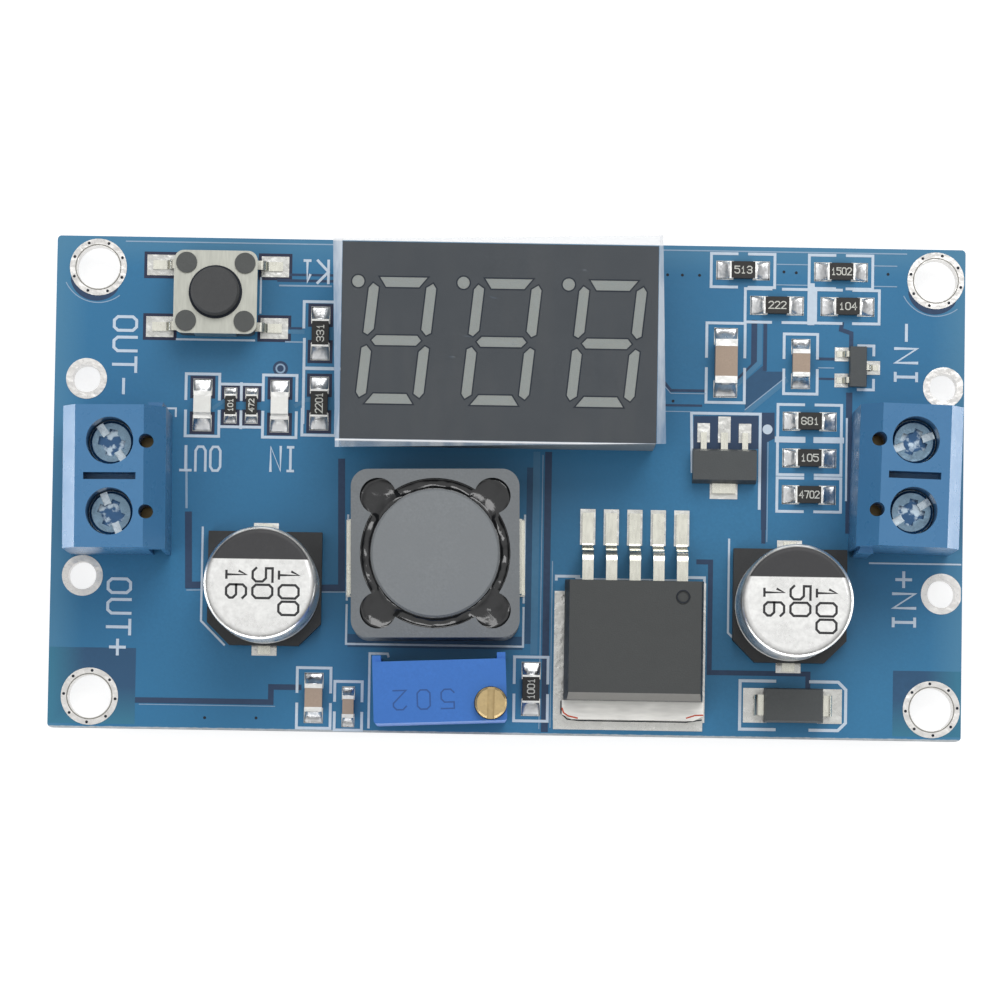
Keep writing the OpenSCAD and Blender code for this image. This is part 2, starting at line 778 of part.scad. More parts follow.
module clamp_screw_out_minus() { color("#c4c8cc") left_pole(1) clamp_screw(-55); }
module clamp_screw_out_plus() { color("#c4c8cc") left_pole(0) clamp_screw(-68); }
module clamp_screw_in_minus() { color("#c4c8cc") right_pole(0) clamp_screw(-158); }
module clamp_screw_in_plus() { color("#c4c8cc") right_pole(1) clamp_screw(-146); }
module wire_clamp_out_minus() { color("#b9bcc0") left_pole(1) wire_clamp(); }
module wire_clamp_out_plus() { color("#b9bcc0") left_pole(0) wire_clamp(); }
module wire_clamp_in_minus() { color("#b9bcc0") right_pole(0) wire_clamp(); }
module wire_clamp_in_plus() { color("#b9bcc0") right_pole(1) wire_clamp(); }

// ---- push switch ----

button_bottom = well_floor + dome_rise + run_gap;
flange_bottom = switch_body_h - run_gap - flange_t;

module switch_corners(inset) {
    for (x = [-1, 1], y = [-1, 1])
        translate([x * (switch_w / 2 - inset), y * (switch_w / 2 - inset), 0]) children();
}

module switch_base() {
    color("#303236") on_board([switch_x, switch_y]) {
        difference() {
            rounded_plate([switch_w - 0.3, switch_w - 0.3], switch_body_h, 0.5);
            translate([0, 0, well_floor]) cylinder(d = well_d, h = switch_body_h);
            for (x = [-1, 1], y = [-1, 1])
                translate([x * (switch_w / 2 - 0.65), y * switch_row / 2, -eps])
                    block([1.1, leg_w + 0.1, switch_leg_exit + leg_t + eps]);
        }
        // heads of the pins that hold the cover
        switch_corners(rivet_inset)
            translate([0, 0, switch_body_h]) cylinder(d = rivet_d, h = cover_t + 0.15);
    }
}

module switch_cover() {
    color("#b9b8b0") on_board([switch_x, switch_y]) difference() {
        union() {
            translate([0, 0, switch_body_h]) rounded_plate([switch_w, switch_w], cover_t, 0.7);
            for (s = [-1, 1])
                translate([0, s * (switch_w / 2 - 0.075), switch_body_h - 2.2])
                    block([3, 0.15, 2.2]);
        }
        cylinder(d = button_d + 2 * run_gap, h = button_top);
        switch_corners(rivet_inset) cylinder(d = rivet_d, h = button_top);
    }
}

module switch_button() {
    color("#3a3b3e") on_board([switch_x, switch_y]) {
        translate([0, 0, button_bottom]) cylinder(d = 1.6, h = flange_bottom - button_bottom + eps);
        translate([0, 0, flange_bottom]) cylinder(d = flange_d, h = flange_t);
        rotate_extrude() polygon([[0, flange_bottom + flange_t - eps],
            [button_d / 2, flange_bottom + flange_t - eps],
            [button_d / 2, button_top - 0.15], [button_d / 2 - 0.15, button_top], [0, button_top]]);
    }
}

// Snap dome: a shallow cap of spring steel on the floor of the well
module switch_dome() {
    a = well_d / 2 - 0.25;
    r = (a * a + dome_rise * dome_rise) / (2 * dome_rise);
    color("#c9ccd0") on_board([switch_x, switch_y]) translate([0, 0, well_floor]) difference() {
        intersection() {
            translate([0, 0, dome_rise - r]) sphere(r, $fn = 64);
            cylinder(r = a, h = dome_rise + 1);
        }
        intersection() {
            translate([0, 0, dome_rise - r]) sphere(r - dome_t, $fn = 64);
            translate([0, 0, -1]) cylinder(r = a, h = dome_rise + 2);
        }
    }
}

switch_leg_exit = 0.8;

module switch_legs() {
    color("#cfcdc4") on_pad([switch_x, switch_y])
        for (x = [0, 1], y = [-1, 1])
            translate([(2 * x - 1) * (switch_w / 2 - 1.1), y * switch_row / 2, 0])
                rotate(180 * (1 - x))
                    gull_lead(switch_leg_exit - copper_t, 1.25, 1.1 + leg_reach, leg_t, leg_w, 0.15, 75);
}

// ---- display ----

// Flat outlines of the seven segments of a digit, before it leans
digit_half_h = digit_h / 2;
digit_half_w = digit_w / 2;
segment_in = digit_half_w - segment_t;

module end_segment() {
    polygon([[-segment_in - 0.13, digit_half_h], [segment_in + 0.13, digit_half_h],
             [segment_in - 0.45, digit_half_h - segment_t],
             [-segment_in + 0.45, digit_half_h - segment_t]]);
}

module middle_segment() {
    half_t = segment_t / 2;
    polygon([[-segment_in - 0.18, 0], [-segment_in + 0.18, half_t], [segment_in - 0.18, half_t],
             [segment_in + 0.18, 0], [segment_in - 0.18, -half_t], [-segment_in + 0.18, -half_t]]);
}

module side_segment() {
    low = 0.33;
    high = digit_half_h - 0.42;
    polygon([[digit_half_w, low + 0.2], [digit_half_w, high - 0.4], [digit_half_w - 0.3, high],
             [segment_in, high - 0.33], [segment_in, low + 0.45], [digit_half_w - 0.38, low]]);
}

module digit_outline() {
    multmatrix([[1, digit_slant, 0, 0], [0, 1, 0, 0], [0, 0, 1, 0], [0, 0, 0, 1]]) {
        middle_segment();
        for (m = [0, 1]) mirror([0, m, 0]) {
            end_segment();
            for (n = [0, 1]) mirror([n, 0, 0]) side_segment();
        }
    }
    translate([-digit_half_w - 0.32, digit_half_h - 0.37]) circle(d = point_d);
}

// The windows of all three digits
module digit_windows() {
    for (i = [-1:1]) translate([i * digit_pitch + digit_offset, 0]) digit_outline();
}

module display_housing() {
    color("#4e5052") on_board([display_x, display_y]) difference() {
        block([display_w, display_d, display_h]);
        // open back that holds the inner board
        translate([0, 0, -eps])
            block([display_w - 2 * well_wall, display_d - 2 * well_wall, backing_t + eps]);
        translate([0, 0, backing_t - eps]) linear_extrude(display_h) digit_windows();
    }
}

module display_segments() {
    color("#979894") on_board([display_x, display_y])
        translate([0, 0, backing_t]) linear_extrude(display_h - backing_t) digit_windows();
}

module display_backing() {
    color("#3a4438") on_board([display_x, display_y]) difference() {
        block([display_w - 2 * well_wall, display_d - 2 * well_wall, backing_t]);
        for (p = display_pin_places)
            translate([p[0] - display_x, p[1] - display_y, -1]) cylinder(d = thin_pin_d, h = backing_t + 2);
    }
}

module display_pins() {
    color("#c9cac8") for (p = display_pin_places)
        translate([p[0], p[1], 0]) cylinder(d = thin_pin_d, h = z_top + backing_t);
}

module display_film() {
    color("#cfe0ee", 0.5) on_board([display_x, display_y + 0.08], film_yaw)
        translate([0, 0, display_h])
            block([display_w + 2 * film_side, display_d + 0.8, film_t]);
}

// ---- inductor ----

module inductor_place() {
    on_pad([inductor_x, inductor_y], inductor_yaw) children();
}

module shield_hole() {
    circle(d = shield_hole_d);
    for (x = [-1, 1], y = [-1, 1]) translate([x * lobe_at, y * lobe_at]) circle(lobe_r);
}

module inductor_shield() {
    color("#808284") inductor_place() translate([0, 0, inductor_lift]) difference() {
        rounded_plate([inductor_w, inductor_w], inductor_h - inductor_lift, shield_corner_r);
        translate([0, 0, -1]) linear_extrude(inductor_h + 2) shield_hole();
    }
}

module inductor_drum() {
    top = inductor_h - 0.05;
    color("#8a8b8d") inductor_place() rotate_extrude($fn = 96)
        polygon([[0, inductor_lift], [drum_d / 2, inductor_lift],
                 [drum_d / 2, inductor_lift + flange_h], [core_d / 2, inductor_lift + flange_h],
                 [core_d / 2, top - flange_h], [drum_d / 2, top - flange_h],
                 [drum_d / 2, top - 0.15], [drum_d / 2 - 0.15, top], [0, top]]);
}

// Copper winding between the flanges, one bulge for each layer of turns
module inductor_winding() {
    low = inductor_lift + flange_h;
    high = inductor_h - 0.05 - flange_h;
    turn = (high - low) / winding_turns;
    color("#b5713a") inductor_place() rotate_extrude($fn = 64) {
        translate([core_d / 2, low]) square([drum_d / 2 - core_d / 2 - turn, high - low]);
        for (i = [0:winding_turns - 1])
            translate([drum_d / 2 - turn, low + (i + 0.5) * turn]) circle(d = turn, $fn = 24);
    }
}

module inductor_glue() {
    glue_t = flange_h - 0.25;
    color("#26282b") inductor_place() translate([0, 0, inductor_h - 0.05 - flange_h])
        linear_extrude(glue_t) difference() {
            shield_hole();
            circle(d = drum_d, $fn = 96);
        }
}

module inductor_terminals() {
    color("#c9cac6") inductor_place() for (s = [0, 1]) rotate(180 * s) {
        translate([inductor_w / 2 - 2.6, -clip_w / 2, 0])
            cube([2.6 + clip_out, clip_w, clip_t]);
        translate([inductor_w / 2, -clip_w / 2, 0]) cube([clip_t, clip_w, 2.4]);
    }
}

// ---- can capacitors ----

can_places = [[left_can_x, left_can_y], [right_can_x, right_can_y]];

module capacitor_can() {
    r = can_d / 2;
    low = can_lead_t + can_base_t;
    top = can_h - copper_t;
    round_r = 0.5;
    translate([0, 0, 0]) rotate_extrude($fn = 96) difference() {
        union() {
            translate([0, low]) square([r, top - low - round_r]);
            translate([0, low]) square([r - round_r, top - low]);
            translate([r - round_r, top - round_r]) circle(round_r, $fn = 48);
        }
        // rolled groove over the seal
        translate([r + 0.15, low + 1]) circle(0.45, $fn = 32);
    }
}

// Plastic base with two cut corners on the positive side
module capacitor_base() {
    h = can_base_w / 2;
    cut = 1.6;
    translate([0, 0, can_lead_t]) linear_extrude(can_base_t)
        polygon([[-h + cut, -h], [h - cut, -h], [h, -h + cut], [h, h], [-h, h], [-h, -h + cut]]);
}

module left_capacitor_can() { color("#d8dadc") on_pad(can_places[0]) capacitor_can(); }
module right_capacitor_can() { color("#d8dadc") on_pad(can_places[1]) capacitor_can(); }
module left_capacitor_base() { color("#2c2d30") on_pad(can_places[0]) capacitor_base(); }
module right_capacitor_base() { color("#2c2d30") on_pad(can_places[1]) capacitor_base(); }

module capacitor_leads() {
    long = can_base_w / 2 + can_lead_out - 1;
    color("#cfcfcb") for (c = can_places, s = [0, 1])
        on_pad(c, 180 * s) translate([-can_lead_w / 2, 1, 0]) cube([can_lead_w, long, can_lead_t]);
}

// ---- power regulator ----

module regulator_slug() {
    h = regulator_w / 2 + 0.1;
    tip = -regulator_l / 2 - tab_l;
    linear_extrude(tab_t)
        polygon([[-h, tip + tab_chamfer / 2], [-h + tab_chamfer, tip], [h - tab_chamfer, tip],
                 [h, tip + tab_chamfer / 2], [h, -regulator_l / 2], [h - 0.9, -regulator_l / 2],
                 [h - 0.9, -regulator_l / 2 + slug_l], [-h + 0.9, -regulator_l / 2 + slug_l],
                 [-h + 0.9, -regulator_l / 2], [-h, -regulator_l / 2]]);
}

module regulator_body() {
    w = regulator_w / 2;
    l = regulator_l / 2;
    waist = tab_t + 0.3;
    color("#3f4143") on_pad([regulator_x, regulator_y]) difference() {
        intersection() {
            rotate([90, 0, 0]) translate([0, 0, -l]) linear_extrude(2 * l)
                polygon([[-w, 0.02], [w, 0.02], [w, waist], [w - regulator_draft, regulator_h],
                         [-w + regulator_draft, regulator_h], [-w, waist]]);
            rotate([90, 0, 90]) translate([0, 0, -w]) linear_extrude(2 * w)
                polygon([[-l, 0.02], [l - 0.15, 0.02], [l, waist], [l - 0.15, regulator_h],
                         [-l + 0.5, regulator_h], [-l, regulator_h - 0.9]]);
        }
        regulator_slug();
        for (i = [-2:2])
            translate([i * lead_pitch, l - 1, regulator_exit])
                block([regulator_lead_w, 2.02, regulator_lead_t]);
        // round mark at the first lead
        translate([2 * lead_pitch, l - 1.3, regulator_h - 0.15]) cylinder(d = 1.05, h = 1);
    }
}

module regulator_tab() { color("#c8c9c7") on_pad([regulator_x, regulator_y]) regulator_slug(); }

module regulator_leads() {
    l = regulator_l / 2;
    color("#d0d1cf") on_pad([regulator_x, regulator_y]) for (i = [-2:2])
        translate([i * lead_pitch, l - 1, 0]) rotate(90)
            gull_lead(regulator_exit, 2.35, 1 + regulator_reach, regulator_lead_t,
                      regulator_lead_w, 0.35, 82);
}

// ---- trimmer ----

module trimmer_place() {
    on_board([trimmer_x, trimmer_y], trimmer_yaw) children();
}

module trimmer_housing() {
    rib = corner_rib;
    color("#3f78c8") trimmer_place() difference() {
        union() {
            translate([0, 0, foot_h]) rounded_plate([trimmer_w, trimmer_d], trimmer_h - foot_h, 0.2);
            for (x = [-1, 1])
                translate([x * (trimmer_w / 2 - rib[0] / 2), trimmer_d / 2 + rib[1] / 2 - 0.1, foot_h])
                    block([rib[0], rib[1] + 0.2, trimmer_h - foot_h - 0.4]);
            // standing feet at the ends
            for (x = [-1, 1])
                translate([x * (trimmer_w / 2 - 0.6), 0, 0]) block([1.2, trimmer_d - 0.4, foot_h + 0.1]);
        }
        translate([adjuster_u, adjuster_v, trimmer_h - adjuster_deep])
            cylinder(d = adjuster_d + 2 * run_gap, h = adjuster_deep + 1);
        translate([adjuster_u, adjuster_v, trimmer_h - adjuster_deep - spindle_l])
            cylinder(d = spindle_d + 2 * run_gap, h = spindle_l + 1);
        for (i = [-1:1])
            translate([i * pin_pitch, 0, -1]) cylinder(d = thin_pin_d, h = 2 + foot_h);
    }
}

module trimmer_screw() {
    color("#c9a255") trimmer_place() translate([adjuster_u, adjuster_v, 0]) difference() {
        union() {
            translate([0, 0, trimmer_h - adjuster_deep + run_gap])
                cylinder(d = adjuster_d, h = adjuster_deep + adjuster_rise - run_gap - 0.15);
            translate([0, 0, trimmer_h + adjuster_rise - 0.15 - eps])
                cylinder(d1 = adjuster_d, d2 = adjuster_d - 0.3, h = 0.15 + eps);
            translate([0, 0, trimmer_h - adjuster_deep - spindle_l + run_gap])
                cylinder(d = spindle_d, h = spindle_l);
        }
        rotate(87) translate([-adjuster_d, -0.25, trimmer_h + adjuster_rise - 0.6])
            cube([2 * adjuster_d, 0.5, 1]);
    }
}

module trimmer_pins() {
    color("#c9cac8") for (p = trimmer_pin_places)
        translate([p[0], p[1], 0]) cylinder(d = thin_pin_d, h = z_top + foot_h + 1);
}

// ---- small parts ----

module diode_body() {
    l = diode_l / 2;
    w = diode_w / 2;
    lift = diode_lead_t + 0.05;
    color("#46443f") on_pad(diode_at) intersection() {
        rotate([90, 0, 0]) translate([0, 0, -w]) linear_extrude(2 * w)
            polygon([[-l + 0.15, lift], [l - 0.15, lift], [l, diode_h / 2], [l - 0.15, diode_h],
                     [-l + 0.15, diode_h], [-l, diode_h / 2]]);
        rotate([90, 0, 90]) translate([0, 0, -l]) linear_extrude(2 * l)
            polygon([[-w + 0.12, lift], [w - 0.12, lift], [w, diode_h / 2], [w - 0.12, diode_h],
                     [-w + 0.12, diode_h], [-w, diode_h / 2]]);
    }
}

// Leads that curl down from the ends of the diode and back under it
module diode_leads() {
    r = 0.2;
    out = 0.25;
    drop = diode_h / 2 - diode_lead_t / 2;
    down = drop - 2 * r - diode_lead_t;
    color("#cfd0ce") on_pad(diode_at) for (s = [0, 1]) rotate(180 * s)
        translate([diode_l / 2, 0, drop])
            bent_strip([[out, -90], [down, -90], [out + 0.9, 0]], diode_lead_t, diode_lead_w, r);
}

module small_regulator_body() {
    s = small_regulator_size;
    color("#4b4a48") on_pad(small_regulator_at) difference() {
        intersection() {
            translate([0, 0, 0.02]) block([s[0], s[1], s[2]]);
            rotate([90, 0, 90]) translate([0, 0, -s[0]]) linear_extrude(2 * s[0])
                polygon([[-s[1], 0], [s[1] / 2, 0], [s[1] / 2, 0.5], [s[1] / 2 - 0.2, s[2]],
                         [-s[1] / 2 + 0.2, s[2]], [-s[1] / 2, 0.5]]);
        }
        small_regulator_metal();
    }
}

module small_regulator_metal() {
    l = small_regulator_size[1] / 2;
    for (i = [-1, 1])
        translate([i * small_regulator_pitch, l + 0.3, 0]) block([0.42, 1.8, 0.4]);
    translate([0, l + 0.3, 0]) block([0.5, 1.8, 0.4]);
    translate([0, -l + 0.3, 0]) block([1.7, 2, 0.4]);
}

module small_regulator_leads() {
    color("#d0d1cf") on_pad(small_regulator_at) small_regulator_metal();
}

module transistor_body() {
    s = transistor_size;
    lift = 0.1;
    mid = lift + s[2] / 2;
    color("#48484a") on_pad(transistor_at) difference() {
        rotate([90, 0, 0]) translate([0, 0, -s[1] / 2]) linear_extrude(s[1])
            polygon([[-s[0] / 2 + 0.08, lift], [s[0] / 2 - 0.08, lift], [s[0] / 2, mid],
                     [s[0] / 2 - 0.08, lift + s[2]], [-s[0] / 2 + 0.08, lift + s[2]],
                     [-s[0] / 2, mid]]);
        transistor_lead_roots();
    }
}

transistor_exit = 0.5;

// Places of the transistor's three leads, each [side, offset]
transistor_lead_places = [[-1, -0.95], [-1, 0.95], [1, 0]];

module transistor_lead_roots() {
    for (p = transistor_lead_places)
        translate([p[0] * transistor_size[0] / 2, p[1], transistor_exit]) block([0.5, 0.42, 0.12]);
}

module transistor_leads() {
    color("#d0d1cf") on_pad(transistor_at) for (p = transistor_lead_places)
        translate([p[0] * (transistor_size[0] / 2 - 0.25), p[1], 0]) rotate(p[0] < 0 ? 180 : 0)
            gull_lead(transistor_exit, 0.35, 1.1, 0.12, 0.42, 0.08, 70);
}

// Body of a chip part between its two metal ends
module chip_body(part, size, end) {
    on_pad(part, part[2]) block([size[0] - 2 * end, size[1], size[2] - 0.03]);
}

module chip_ends(part, size, end) {
    on_pad(part, part[2]) for (s = [-1, 1])
        translate([s * (size[0] - end) / 2, 0, 0]) block([end, size[1], size[2]]);
}

chip_size = [chip_l, chip_w, chip_h];

module resistor_bodies() {
    color("#37383a") {
        for (p = resistors) chip_body(p, chip_size, 0.3);
        for (p = small_resistors) chip_body(p, small_chip, 0.25);
    }
}

module resistor_ends() {
    color("#d8d8d4") {
        for (p = resistors) chip_ends(p, chip_size, 0.3);
        for (p = small_resistors) chip_ends(p, small_chip, 0.25);
    }
}

module ceramic_capacitor_bodies() {
    color("#a58873") for (p = ceramics) chip_body(p, [p[3], p[4], p[5]], 0.16 * p[3]);
}

module ceramic_capacitor_ends() {
    color("#d8d8d4") for (p = ceramics) chip_ends(p, [p[3], p[4], p[5]], 0.16 * p[3]);
}

module led_bodies() {
    color("#e6e4d8") for (p = leds) chip_body(p, led_size, led_end);
}

module led_ends() {
    color("#d8d8d4") for (p = leds) on_pad(p, p[2]) for (s = [-1, 1])
        translate([s * (led_size[0] - led_end) / 2, 0, 0]) block([led_end, led_size[1], led_end]);
}

// Meter chip under the board, upside down
module under_board() {
    translate([meter_at[0], meter_at[1], z_bottom - copper_t]) rotate([180, 0, 0]) children();
}

function meter_lead_x(i) = (i - (meter_lead_count - 1) / 2) * meter_lead_pitch;

module meter_chip_body() {
    lift = 0.08;
    color("#303133") under_board()
        translate([0, 0, lift]) block([meter_l, meter_w, meter_h - lift]);
}

module meter_chip_leads() {
    t = meter_lead_t;
    exit = meter_h / 2;
    color("#d0d1cf") under_board() for (s = [0, 1], i = [0:meter_lead_count - 1])
        rotate(180 * s) translate([meter_lead_x(i), meter_w / 2, 0]) rotate([90, 0, 90])
            translate([0, 0, -0.11]) linear_extrude(0.22)
                polygon([[0, exit], [0, exit + t], [0.3, exit + t], [0.5, t], [meter_lead_out, t],
                         [meter_lead_out, 0], [0.4, 0], [0.2, exit]]);
}

// ---- assembly ----

circuit_board();
plated_holes();
surface_pads();
solder_joints();
left_terminal_housing();
right_terminal_housing();
terminal_contacts();
clamp_screw_out_minus();
clamp_screw_out_plus();
clamp_screw_in_minus();
clamp_screw_in_plus();
wire_clamp_out_minus();
wire_clamp_out_plus();
wire_clamp_in_minus();
wire_clamp_in_plus();
switch_base();
switch_cover();
switch_button();
switch_dome();
switch_legs();
display_housing();
display_segments();
display_backing();
display_pins();
display_film();
inductor_shield();
inductor_drum();
inductor_winding();
inductor_glue();
inductor_terminals();
left_capacitor_can();
right_capacitor_can();
left_capacitor_base();
right_capacitor_base();
capacitor_leads();
regulator_body();
regulator_tab();
regulator_leads();
trimmer_housing();
trimmer_screw();
trimmer_pins();
diode_body();
diode_leads();
small_regulator_body();
small_regulator_leads();
transistor_body();
transistor_leads();
resistor_bodies();
resistor_ends();
ceramic_capacitor_bodies();
ceramic_capacitor_ends();
led_bodies();
led_ends();
meter_chip_body();
meter_chip_leads();
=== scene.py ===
import json
import math

import bpy
import bmesh
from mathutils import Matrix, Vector, noise


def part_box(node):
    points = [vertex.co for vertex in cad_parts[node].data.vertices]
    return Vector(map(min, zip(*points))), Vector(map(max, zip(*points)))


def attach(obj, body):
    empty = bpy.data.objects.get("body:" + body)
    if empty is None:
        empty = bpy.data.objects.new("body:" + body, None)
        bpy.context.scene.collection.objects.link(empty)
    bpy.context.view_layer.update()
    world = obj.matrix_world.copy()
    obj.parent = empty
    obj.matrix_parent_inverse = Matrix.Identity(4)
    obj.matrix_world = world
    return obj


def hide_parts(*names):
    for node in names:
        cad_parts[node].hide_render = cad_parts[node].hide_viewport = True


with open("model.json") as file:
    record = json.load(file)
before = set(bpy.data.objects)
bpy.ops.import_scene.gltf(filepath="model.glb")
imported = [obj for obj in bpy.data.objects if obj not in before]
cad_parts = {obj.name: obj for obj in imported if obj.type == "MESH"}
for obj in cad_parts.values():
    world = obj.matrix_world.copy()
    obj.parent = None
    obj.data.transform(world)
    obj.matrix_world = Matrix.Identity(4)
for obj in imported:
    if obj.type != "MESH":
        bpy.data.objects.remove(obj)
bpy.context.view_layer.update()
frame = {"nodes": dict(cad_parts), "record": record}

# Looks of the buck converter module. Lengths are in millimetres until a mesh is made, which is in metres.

MM = 0.001
NODES = frame["nodes"]
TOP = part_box("circuit_board")[1].z / MM
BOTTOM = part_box("circuit_board")[0].z / MM

# the layers on the board start inside it and end at these heights
LOW = TOP - 0.010
TONE_TOP = TOP + 0.004
GAP_TOP = TOP + 0.010
TRACE_TOP = TOP + 0.014
EDGE_TOP = TOP + 0.016
SILK_TOP = TOP + 0.024
RING_TOP = TOP + 0.056
# a mark on a part stands this far above its face, and starts this far inside it
PRINT_UP, PRINT_SUNK, CUT_SUNK = 0.006, 0.01, 0.02
# crossing lines differ in height, so that no two faces lie in one plane
LAYERS, LAYER_STEP = 11, 0.001
MITRE_MIN = 0.8

for spare in ("Cube", "Light", "Camera"):
    if spare in bpy.data.objects and spare not in NODES:
        bpy.data.objects.remove(bpy.data.objects[spare])


# ------ helpers: places

def box(node):
    """A node's box in millimetres: x0, y0, z0, x1, y1, z1."""
    low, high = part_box(node)
    return tuple(v / MM for v in (*low, *high))


def printed_on(height, sunk=PRINT_SUNK):
    """Foot and top of a mark on a face at some height."""
    return height - sunk, height + PRINT_UP


def middle(b):
    return (b[0] + b[3]) / 2, (b[1] + b[4]) / 2


def islands(node):
    """The corners of each of a node's separate solids, in millimetres."""
    mesh = NODES[node].data
    places, parent, index = {}, [], []

    def root(i):
        while parent[i] != i:
            i = parent[i]
        return i

    for vertex in mesh.vertices:
        key = tuple(round(c * 1e6) for c in vertex.co)
        if key not in places:
            places[key] = len(parent)
            parent.append(len(parent))
        index.append(places[key])
    for face in mesh.polygons:
        for other in face.vertices[1:]:
            parent[root(index[other])] = root(index[face.vertices[0]])
    groups = {}
    for key, i in places.items():
        groups.setdefault(root(i), []).append(tuple(c * 1e-3 for c in key))
    return list(groups.values())


def solids(node):
    """Boxes of a node's separate solids, in millimetres, from left to right."""
    def corner(group, pick):
        return tuple(pick(point[k] for point in group) for k in range(3))

    return sorted(corner(group, min) + corner(group, max) for group in islands(node))


def long_side(b):
    return max(b[3] - b[0], b[4] - b[1])


def near(boxes, place, reach):
    """The boxes whose middle lies within reach of a place, in plan."""
    return [b for b in boxes if math.dist(middle(b), place) < reach]


def union(boxes):
    low = tuple(min(b[k] for b in boxes) for k in range(3))
    return low + tuple(max(b[k] for b in boxes) for k in range(3, 6))


def round_points(x, y, radius, turns):
    """Points at one distance from a place, at some angles in radians."""
    return [(x + radius * math.cos(t), y + radius * math.sin(t)) for t in turns]


# ------ helpers: meshes

class Piece:
    """Gathers closed solids, in millimetres, and makes one object of them."""

    def __init__(self):
        self.points, self.faces, self.lines = [], [], 0

    def add(self, points, faces):
        start = len(self.points)
        self.points += points
        self.faces += [tuple(start + i for i in face) for face in faces]

    def prism(self, outline, low, high):
        """An upright prism over a convex or simple outline, given counterclockwise."""
        n = len(outline)
        points = [(x, y, low) for x, y in outline] + [(x, y, high) for x, y in outline]
        sides = [(i, (i + 1) % n, n + (i + 1) % n, n + i) for i in range(n)]
        self.add(points, sides + [tuple(reversed(range(n))), tuple(range(n, 2 * n))])

    def slab(self, x0, y0, x1, y1, low, high):
        self.prism([(x0, y0), (x1, y0), (x1, y1), (x0, y1)], low, high)

    def line(self, points, width, low, high, closed=False):
        """A printed line of one width along a run of points, mitred at its corners."""
        if points[0] == points[-1] and len(points) > 2:
            points, closed = points[:-1], True
        half, n = width / 2, len(points)
        self.lines += 1
        high += (self.lines % LAYERS) * LAYER_STEP
        ways = []
        for (ax, ay), (bx, by) in zip(points, points[1:] + points[:1]):
            length = math.hypot(bx - ax, by - ay)
            ways.append(((bx - ax) / length, (by - ay) / length))
        left, right = [], []
        for i, (x, y) in enumerate(points):
            before = ways[i - 1] if closed or i > 0 else ways[i]
            after = ways[i] if closed or i < n - 1 else ways[i - 1]
            nx, ny = -(before[1] + after[1]), before[0] + after[0]
            size = max(math.hypot(nx, ny), MITRE_MIN)
            reach = half * 2 / size / size
            end = 0 if closed or 0 < i < n - 1 else (-half if i == 0 else half)
            x, y = x + after[0] * end, y + after[1] * end
            left.append((x + nx * reach, y + ny * reach))
            right.append((x - nx * reach, y - ny * reach))
        rows = [(*a, z) for z in (low, high) for side in (left, right) for a in side]
        faces = []
        for i in range(n if closed else n - 1):
            j = (i + 1) % n
            faces += [(i, n + i, n + j, j), (2 * n + i, 2 * n + j, 3 * n + j, 3 * n + i),
                      (i, j, 2 * n + j, 2 * n + i), (n + i, 3 * n + i, 3 * n + j, n + j)]
        if not closed:
            faces += [(0, 2 * n, 3 * n, n), (n - 1, 2 * n - 1, 4 * n - 1, 3 * n - 1)]
        self.add(rows, faces)

    def disc(self, x, y, radius, low, high, steps=20):
        turn = 2 * math.pi / steps
        self.prism(round_points(x, y, radius, [i * turn for i in range(steps)]), low, high)

    def ring(self, x, y, inner, outer, low, high, start=0.0, end=360.0, steps=48):
        """A flat ring or a part of one, from one angle to another in degrees."""
        whole = abs(end - start) >= 360
        count = steps if whole else steps + 1
        turns = [math.radians(start + (end - start) * i / steps) for i in range(count)]
        self.band(round_points(x, y, inner, turns), round_points(x, y, outer, turns), low, high, whole)

    def band(self, inner, outer, low, high, whole=True):
        """A flat band between two runs of points."""
        n = len(inner)
        points = [(x, y, z) for z in (low, high) for side in (inner, outer) for x, y in side]
        faces = []
        for i in range(n if whole else n - 1):
            j = (i + 1) % n
            faces += [(n + i, n + j, 3 * n + j, 3 * n + i), (j, i, 2 * n + i, 2 * n + j),
                      (2 * n + i, 3 * n + i, 3 * n + j, 2 * n + j), (i, j, n + j, n + i)]
        if not whole:
            faces += [(0, n, 3 * n, 2 * n), (2 * n - 1, n - 1, 3 * n - 1, 4 * n - 1)]
        self.add(points, faces)

    def holed_slab(self, x0, y0, x1, y1, hole, radius, low, high, steps=48):
        """A slab with a round hole in it."""
        x, y = hole
        corners = [math.atan2(b - y, a - x) for a in (x0, x1) for b in (y0, y1)]
        turns = sorted(corners + [2 * math.pi * i / steps - math.pi for i in range(steps)])
        outer = []
        for t in turns:
            dx, dy = math.cos(t), math.sin(t)
            reach = min(((x1 if dx > 0 else x0) - x) / dx if abs(dx) > 1e-6 else 1e6,
                        ((y1 if dy > 0 else y0) - y) / dy if abs(dy) > 1e-6 else 1e6)
            outer.append((x + dx * reach, y + dy * reach))
        self.band(round_points(x, y, radius, turns), outer, low, high)

    def make(self, name, look, slot, body="root", smooth=False):
        mesh = bpy.data.meshes.new(name)
        mesh.from_pydata([tuple(c * MM for c in p) for p in self.points], [], self.faces)
        work = bmesh.new()
        work.from_mesh(mesh)
        bmesh.ops.recalc_face_normals(work, faces=work.faces)
        work.to_mesh(mesh)
        work.free()
        for face in mesh.polygons:
            face.use_smooth = smooth
        mesh.materials.append(look.material)
        thing = bpy.data.objects.new(name, mesh)
        bpy.context.scene.collection.objects.link(thing)
        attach(thing, body)
        return thing


def turned(x, y, degrees):
    c, s = math.cos(math.radians(degrees)), math.sin(math.radians(degrees))
    return x * c - y * s, x * s + y * c


